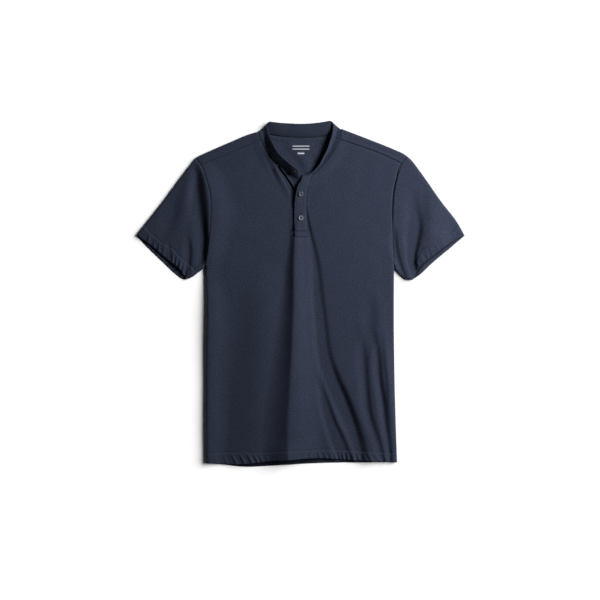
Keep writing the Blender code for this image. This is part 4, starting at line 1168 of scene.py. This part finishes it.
def build_buttonholes(thread, dark):
    """Satin-stitched buttonholes of the placket: two rails of bars round a slit, drawn as a near-black bar
    that is painted shadow.
    """
    groups, slit_shadows = [], []

    def satin(line, lift, bar):
        centres, along, normal = frames_along(np.array(line), placket_height, SATIN_PITCH)
        groups.append((centres + lift * normal, np.cross(normal, along), normal, *bar))

    for x, y in BUTTONS.values():
        x += BUTTONHOLE_SHIFT
        for side in (x - RAIL_OFFSET, x + RAIL_OFFSET):
            satin([(side, y + BUTTONHOLE_FOOT), (side, y + BUTTONHOLE_TOP)], RAIL_LIFT, RAIL_BAR)
        for end in TACKS:
            satin([(x, y + end - TACK_HALF), (x, y + end + TACK_HALF)], TACK_LIFT, TACK_BAR)
        line = np.array([(x, y + end) for end in SLIT_ENDS])
        centres, along, normal = frames_along(line, placket_height, lengths(line)[-1])
        slit_shadows.append((centres - SLIT_DEPTH * normal, along, normal, *SLIT_BAR))
    return [bars("buttonhole_stitches", groups, thread), bars("buttonhole_slit_shadows", slit_shadows, dark)]


def build_button(name, seat, normal, material):
    """A four-hole button with a raised rim, its flat underside at the seat."""
    mesh = bmesh.new()
    points = [mesh.verts.new((r * MM, 0, z * MM)) for r, z in spline(BUTTON_PROFILE, BUTTON_STEP)]
    for pair in zip(points, points[1:]):
        mesh.edges.new(pair)
    button = add_object(name, mesh, material)
    screw = button.modifiers.new("turn", "SCREW")
    screw.steps = screw.render_steps = BUTTON_SIDES
    screw.use_merge_vertices = True
    screw.merge_threshold = POINT_MERGE
    cutters = []
    for x, y in ((1, 1), (-1, 1), (-1, -1), (1, -1)):
        bpy.ops.mesh.primitive_cylinder_add(
            vertices=HOLE_SIDES, radius=HOLE_RADIUS * MM, depth=HOLE_DEPTH * MM
        )
        cutter = bpy.context.object
        cutter.location = Vector((x * HOLE_PITCH, y * HOLE_PITCH, 1)) * MM
        boolean = button.modifiers.new("hole", "BOOLEAN")
        boolean.object = cutter
        boolean.operation = "DIFFERENCE"
        cutters.append(cutter)
    bpy.context.view_layer.update()
    shape = bpy.data.meshes.new_from_object(button.evaluated_get(bpy.context.evaluated_depsgraph_get()))
    button.modifiers.clear()
    button.data = shape
    for cutter in cutters:
        bpy.data.objects.remove(cutter)
    shape.shade_smooth()
    shape.set_sharp_from_angle(angle=math.radians(SHARP_ANGLE))
    turned = Vector((0, 0, 1)).rotation_difference(normal).to_matrix().to_4x4()
    button.matrix_world = Matrix.Translation(seat) @ turned
    return button


def build_button_thread(name, button, thread):
    """Two pairs of thread bars across the button's holes."""
    pose = np.array(button.matrix_world)
    places = [
        (0, (side * HOLE_PITCH + shift) * MM, THREAD_HEIGHT * MM, 1)
        for side in (-1, 1) for shift in (-THREAD_SHIFT, THREAD_SHIFT)
    ]
    centres = (np.array(places) @ pose.T)[:, :3] / MM
    along, normal = (np.tile(pose[:3, c], (len(places), 1)) for c in (0, 2))
    return bars(name, [(centres, along, normal, *THREAD_BAR)], thread)


def resting_place(centre, height, lift):
    """Seat and normal of a button that lies on a surface: clear of every point under it."""
    turn = np.linspace(0, 2 * math.pi, SEAT_POINTS, endpoint=False)
    ring = BUTTON_RADIUS * np.column_stack([np.cos(turn), np.sin(turn)])
    disc = np.vstack([[(0, 0)], 0.5 * ring, ring]) + centre
    z = height(disc)
    slope = np.linalg.lstsq(np.column_stack([disc - disc[0], np.ones(len(disc))]), z, rcond=None)[0]
    normal = Vector((-slope[0], -slope[1], 1)).normalized()
    above = (z - (disc - disc[0]) @ slope[:2]).max() + lift
    return Vector((*centre, above)) * MM, normal


def band_place(target, lift):
    """Seat and normal of the button on the band, where the band's outer face passes under a plan point."""
    grid = band_surface()[:, : int(BAND_FRONT / BAND_STEP)]
    flat = np.linalg.norm(grid[:, :, :2] - np.array(target), axis=2)
    row, column = np.unravel_index(np.argmin(flat), flat.shape)
    row = min(max(row, 2), grid.shape[0] - 3)
    column = max(column, 2)
    across = Vector(grid[row + 2, column] - grid[row - 2, column])
    along = Vector(grid[row, column + 2] - grid[row, column - 2])
    normal = across.cross(along).normalized()
    if normal.z < 0:
        normal.negate()
    centre = Vector(grid[row, column])
    near = grid[np.linalg.norm(grid - grid[row, column], axis=2) < BUTTON_RADIUS]
    above = max((Vector(p) - centre).dot(normal) for p in near) + lift
    return (centre + normal * above) * MM, normal


def build_neck_print(material):
    """Plain generic bars on the inside of the back, where a size print would be."""
    mesh = bmesh.new()
    for x, y, length, width in NECK_PRINT:
        radius = 0.5 * width
        places = np.linspace(-0.5 * length, 0.5 * length, int(length) + 1)
        past = np.maximum(np.abs(places) - (0.5 * length - radius), 0)
        half = np.sqrt(np.maximum(radius**2 - past**2, PRINT_LEAST))
        rows = []
        for share in np.linspace(-1, 1, PRINT_ROWS):
            line = np.column_stack([x + places, y + share * half])
            z = lower(line) + WALL + PRINT_LIFT
            rows.append([mesh.verts.new(point) for point in np.column_stack([line, z]) * MM])
        for low, high in zip(rows, rows[1:]):
            for face in zip(low, low[1:], high[1:], high):
                mesh.faces.new(face)
    return add_object("neck_print", mesh, material, PRINT_LIFT)


class Tree:
    """A material's nodes, made one call at a time."""

    def __init__(self, name):
        self.material = bpy.data.materials.new(name)
        self.material.use_nodes = True
        self.tree = self.material.node_tree
        self.shader = self.tree.nodes["Principled BSDF"].inputs

    def join(self, value, socket):
        if isinstance(value, bpy.types.NodeSocket):
            self.tree.links.new(value, socket)
        else:
            socket.default_value = value

    def node(self, kind, *values, **settings):
        """A new node with its settings, its first inputs joined to values or other nodes."""
        made = self.tree.nodes.new(f"ShaderNode{kind}")
        for key, value in settings.items():
            setattr(made, key, value)
        for value, socket in zip(values, made.inputs):
            self.join(value, socket)
        return made

    def math(self, operation, *values):
        return self.node("Math", *values, operation=operation).outputs[0]

    def noise(self, place, scale=1.0):
        made = self.node("TexNoise", place)
        made.inputs["Scale"].default_value = scale
        return made.outputs["Fac"]

    def split(self, place):
        return self.node("SeparateXYZ", place).outputs

    def place(self):
        return self.node("TexCoord").outputs["Object"]

    def paint(self, value, stops):
        """Base colour by a value. Stops: place, colour."""
        made = self.node("ValToRGB", value)
        elements = made.color_ramp.elements
        while len(elements) < len(stops):
            elements.new(0.5)
        for element, (place, colour) in zip(elements, stops):
            element.position = place
            element.color = (*colour, 1)
        self.join(made.outputs["Color"], self.shader["Base Color"])

    def finish(self, roughness, specular, **more):
        """Sets the shader's own sockets; gives the material."""
        self.shader["Roughness"].default_value = roughness
        self.shader["Specular IOR Level"].default_value = specular
        for name, value in more.items():
            self.shader[name.replace("_", " ").title()].default_value = value
        return self.material


def scaled(colour, factor):
    return tuple(channel * factor for channel in colour)


def shades(colour, stops):
    return [(place, scaled(colour, share)) for place, share in stops]


def knit(name, colour):
    """Fine heathered jersey: loops in wales and courses, flecked yarn and a faint broad mottle."""
    made = Tree(name)
    grain = made.split(made.node("UVMap", uv_map="grain").outputs[0])
    across, along = (made.math("MULTIPLY", grain[c], 1000) for c in range(2))

    def yarn(width, height, seed):
        across_yarn, along_yarn = made.math("DIVIDE", across, width), made.math("DIVIDE", along, height)
        return made.noise(made.node("CombineXYZ", across_yarn, along_yarn, seed).outputs[0])

    wale = made.math("MULTIPLY", made.math("PINGPONG", made.math("DIVIDE", across, WALE), 0.5), 2)
    lean = made.math("MULTIPLY", made.math("SUBTRACT", 1, wale), LOOP_LEAN)
    course = made.math("ADD", made.math("DIVIDE", along, COURSE), lean)
    course = made.math("MULTIPLY", made.math("PINGPONG", course, 0.5), 2)
    course = made.math("MULTIPLY_ADD", course, COURSE_DEPTH, 1 - COURSE_DEPTH)
    loop = made.math("MULTIPLY", made.math("SQRT", wale), course)
    fine = yarn(*FINE)
    tone = made.math("MULTIPLY_ADD", yarn(*FLECK), YARN_SHARE, made.math("MULTIPLY", fine, 1 - YARN_SHARE))
    broad = made.math("MULTIPLY_ADD", yarn(*BROAD), BROAD_SHARE, -0.5 * BROAD_SHARE)
    tone = made.math("ADD", tone, broad)
    made.paint(tone, shades(colour, HEATHER))
    bump = made.node("Bump", *KNIT_BUMP)
    made.join(made.math("MULTIPLY_ADD", fine, 0.5, loop), bump.inputs["Height"])
    made.join(bump.outputs["Normal"], made.shader["Normal"])
    return made.finish(
        roughness=0.86, specular=0.25, sheen_weight=0.1, sheen_roughness=0.45, sheen_tint=(0.75, 0.82, 1, 1)
    )


def button_material(name, share):
    """Dyed resin, dark in its dish, with a bright ring round its raised rim that is a painted highlight; its
    share makes a lighter or darker copy, painted light.
    """
    made = Tree(f"{name}_resin_painted_light")
    place = made.place()
    x, y, _ = made.split(place)
    flat = made.node("CombineXYZ", x, y, 0.0).outputs[0]
    length = made.node("VectorMath", flat, operation="LENGTH").outputs["Value"]
    swirl = made.math("MULTIPLY_ADD", made.noise(place, SWIRL_SCALE), SWIRL, -0.5 * SWIRL)
    tone = made.math("ADD", made.math("DIVIDE", length, BUTTON_RADIUS * MM), swirl)
    # the tones paint a highlight round the rim, and the share lightens or darkens them all as painted light
    made.paint(tone, [(stop, scaled(colour, share)) for stop, colour in BUTTON_TONES_AND_HIGHLIGHT])
    return made.finish(roughness=0.42, specular=0.4, coat_weight=0.15, coat_roughness=0.15)


def speckled(name, colour, scale, stops, roughness, specular, sheen):
    """One colour with a fine speckle."""
    made = Tree(name)
    made.paint(made.noise(made.place(), scale), shades(colour, stops))
    return made.finish(roughness, specular, sheen_weight=sheen)


def build_stage():
    """A white floor to the horizon and a white wall behind it that only the camera sees."""
    bpy.ops.mesh.primitive_plane_add(size=60, location=(0, 0, FLOOR_Z))
    floor = bpy.context.object
    floor.name = "floor"
    white = Tree("floor")
    white.shader["Base Color"].default_value = FLOOR_COLOUR
    floor.data.materials.append(white.finish(roughness=0.9, specular=0))
    bpy.ops.mesh.primitive_cylinder_add(radius=25, depth=30, end_fill_type="NOTHING", vertices=96)
    wall = bpy.context.object
    wall.name = "backdrop"
    glow = Tree("backdrop")
    glow.tree.nodes.clear()
    glow.join(glow.node("Emission").outputs[0], glow.node("OutputMaterial").inputs["Surface"])
    wall.data.materials.append(glow.material)
    for ray in ("diffuse", "glossy", "transmission", "shadow", "volume_scatter"):
        setattr(wall, f"visible_{ray}", False)
    return floor


def add_light(name, kind, strength, place, receivers, **settings):
    """A light that looks at the origin and lights only some objects."""
    data = bpy.data.lights.new(name, kind)
    data.energy = strength
    for key, value in settings.items():
        setattr(data, key, value)
    lamp = place_object(name, data)
    lamp.location = place
    lamp.rotation_euler = Vector(place).to_track_quat("Z", "Y").to_euler()
    lit = bpy.data.collections.new(f"{name}_receivers")
    for obj in receivers:
        lit.objects.link(obj)
    lamp.light_linking.receiver_collection = lit


def build_lights(shirt, floor):
    azimuth, elevation = math.radians(LIGHT_AZIMUTH), math.radians(LIGHT_ELEVATION)
    flat = math.cos(elevation)
    place = LIGHT_DISTANCE * Vector((flat * math.cos(azimuth), flat * math.sin(azimuth), math.sin(elevation)))
    add_light("key", "SUN", KEY_STRENGTH, place, shirt, angle=math.radians(LIGHT_ANGLE))
    add_light("key_on_floor", "SUN", FLOOR_STRENGTH, place, [floor], angle=math.radians(FLOOR_ANGLE))
    add_light("near", "AREA", NEAR_STRENGTH, NEAR_PLACE, shirt, shape="DISK", size=NEAR_SIZE)
    world = bpy.data.worlds.new("world")
    world.use_nodes = True
    sky = world.node_tree.nodes["Background"].inputs
    sky["Color"].default_value = SKY_COLOUR
    sky["Strength"].default_value = FILL_STRENGTH
    bpy.context.scene.world = world
    bpy.context.scene.view_settings.view_transform = "Standard"


def build_camera():
    data = bpy.data.cameras.new("camera")
    data.sensor_width = SENSOR
    data.lens = SENSOR * CAMERA_HEIGHT / CAMERA_FIELD
    camera = place_object("camera", data)
    camera.location = (*CAMERA_AIM, CAMERA_HEIGHT)
    bpy.context.scene.camera = camera


def keep(piece, node=None):
    """The piece moves with the shirt and stands for its node."""
    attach(piece, "root")
    if node:
        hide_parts(node)


def main():
    knitted = knit("navy_heather_knit", CLOTH_COLOUR)
    # the band's knit is a darker copy of the cloth's knit, painted shade
    band_knit_painted_shade = knit("navy_heather_band_painted_shade", scaled(CLOTH_COLOUR, BAND_PAINTED_SHADE))
    thread, dark, ink = (speckled(name, *values) for name, values in SPECKLED.items())

    grain = math.radians(SLEEVE_GRAIN)
    pieces = {
        "back": build_back(knitted),
        "front": build_front(knitted),
        "sleeve_left": build_sleeve(
            "sleeve_left_cloth", armhole_left, sleeve_top_left, (CUFF_LEFT_UPPER, CUFF_LEFT_LOWER),
            underarm_left, knitted, -grain,
        ),
        "sleeve_right": build_sleeve(
            "sleeve_right_cloth", armhole_right, sleeve_top_right, (CUFF_RIGHT_UPPER, CUFF_RIGHT_LOWER),
            underarm_right, knitted, grain,
        ),
        "collar_band": build_band(band_knit_painted_shade),
    }
    pieces["placket_top"], pieces["placket_under"] = build_plackets(knitted)
    details = build_stitches(thread)
    details["placket_top"] += build_buttonholes(thread, dark)
    details["back"].append(build_neck_print(ink))
    seats = {name: resting_place(centre, placket_height, BUTTON_LIFT) for name, centre in BUTTONS.items()}
    seats["button_collar"] = band_place(COLLAR_BUTTON, 0.5 * BAND_WALL + COLLAR_BUTTON_LIFT)
    for name, (seat, normal) in seats.items():
        button = build_button(f"{name}_turned", seat, normal, button_material(name, BUTTON_PAINTED_LIGHT[name]))
        keep(button, name)
        keep(build_button_thread(f"{name}_thread", button, thread))
    for node, piece in pieces.items():
        keep(piece, node)
        carried = details.get(node, [])
        for obj in carried:
            keep(obj)

    build_lights(list(bpy.context.scene.objects), build_stage())
    build_camera()


main()
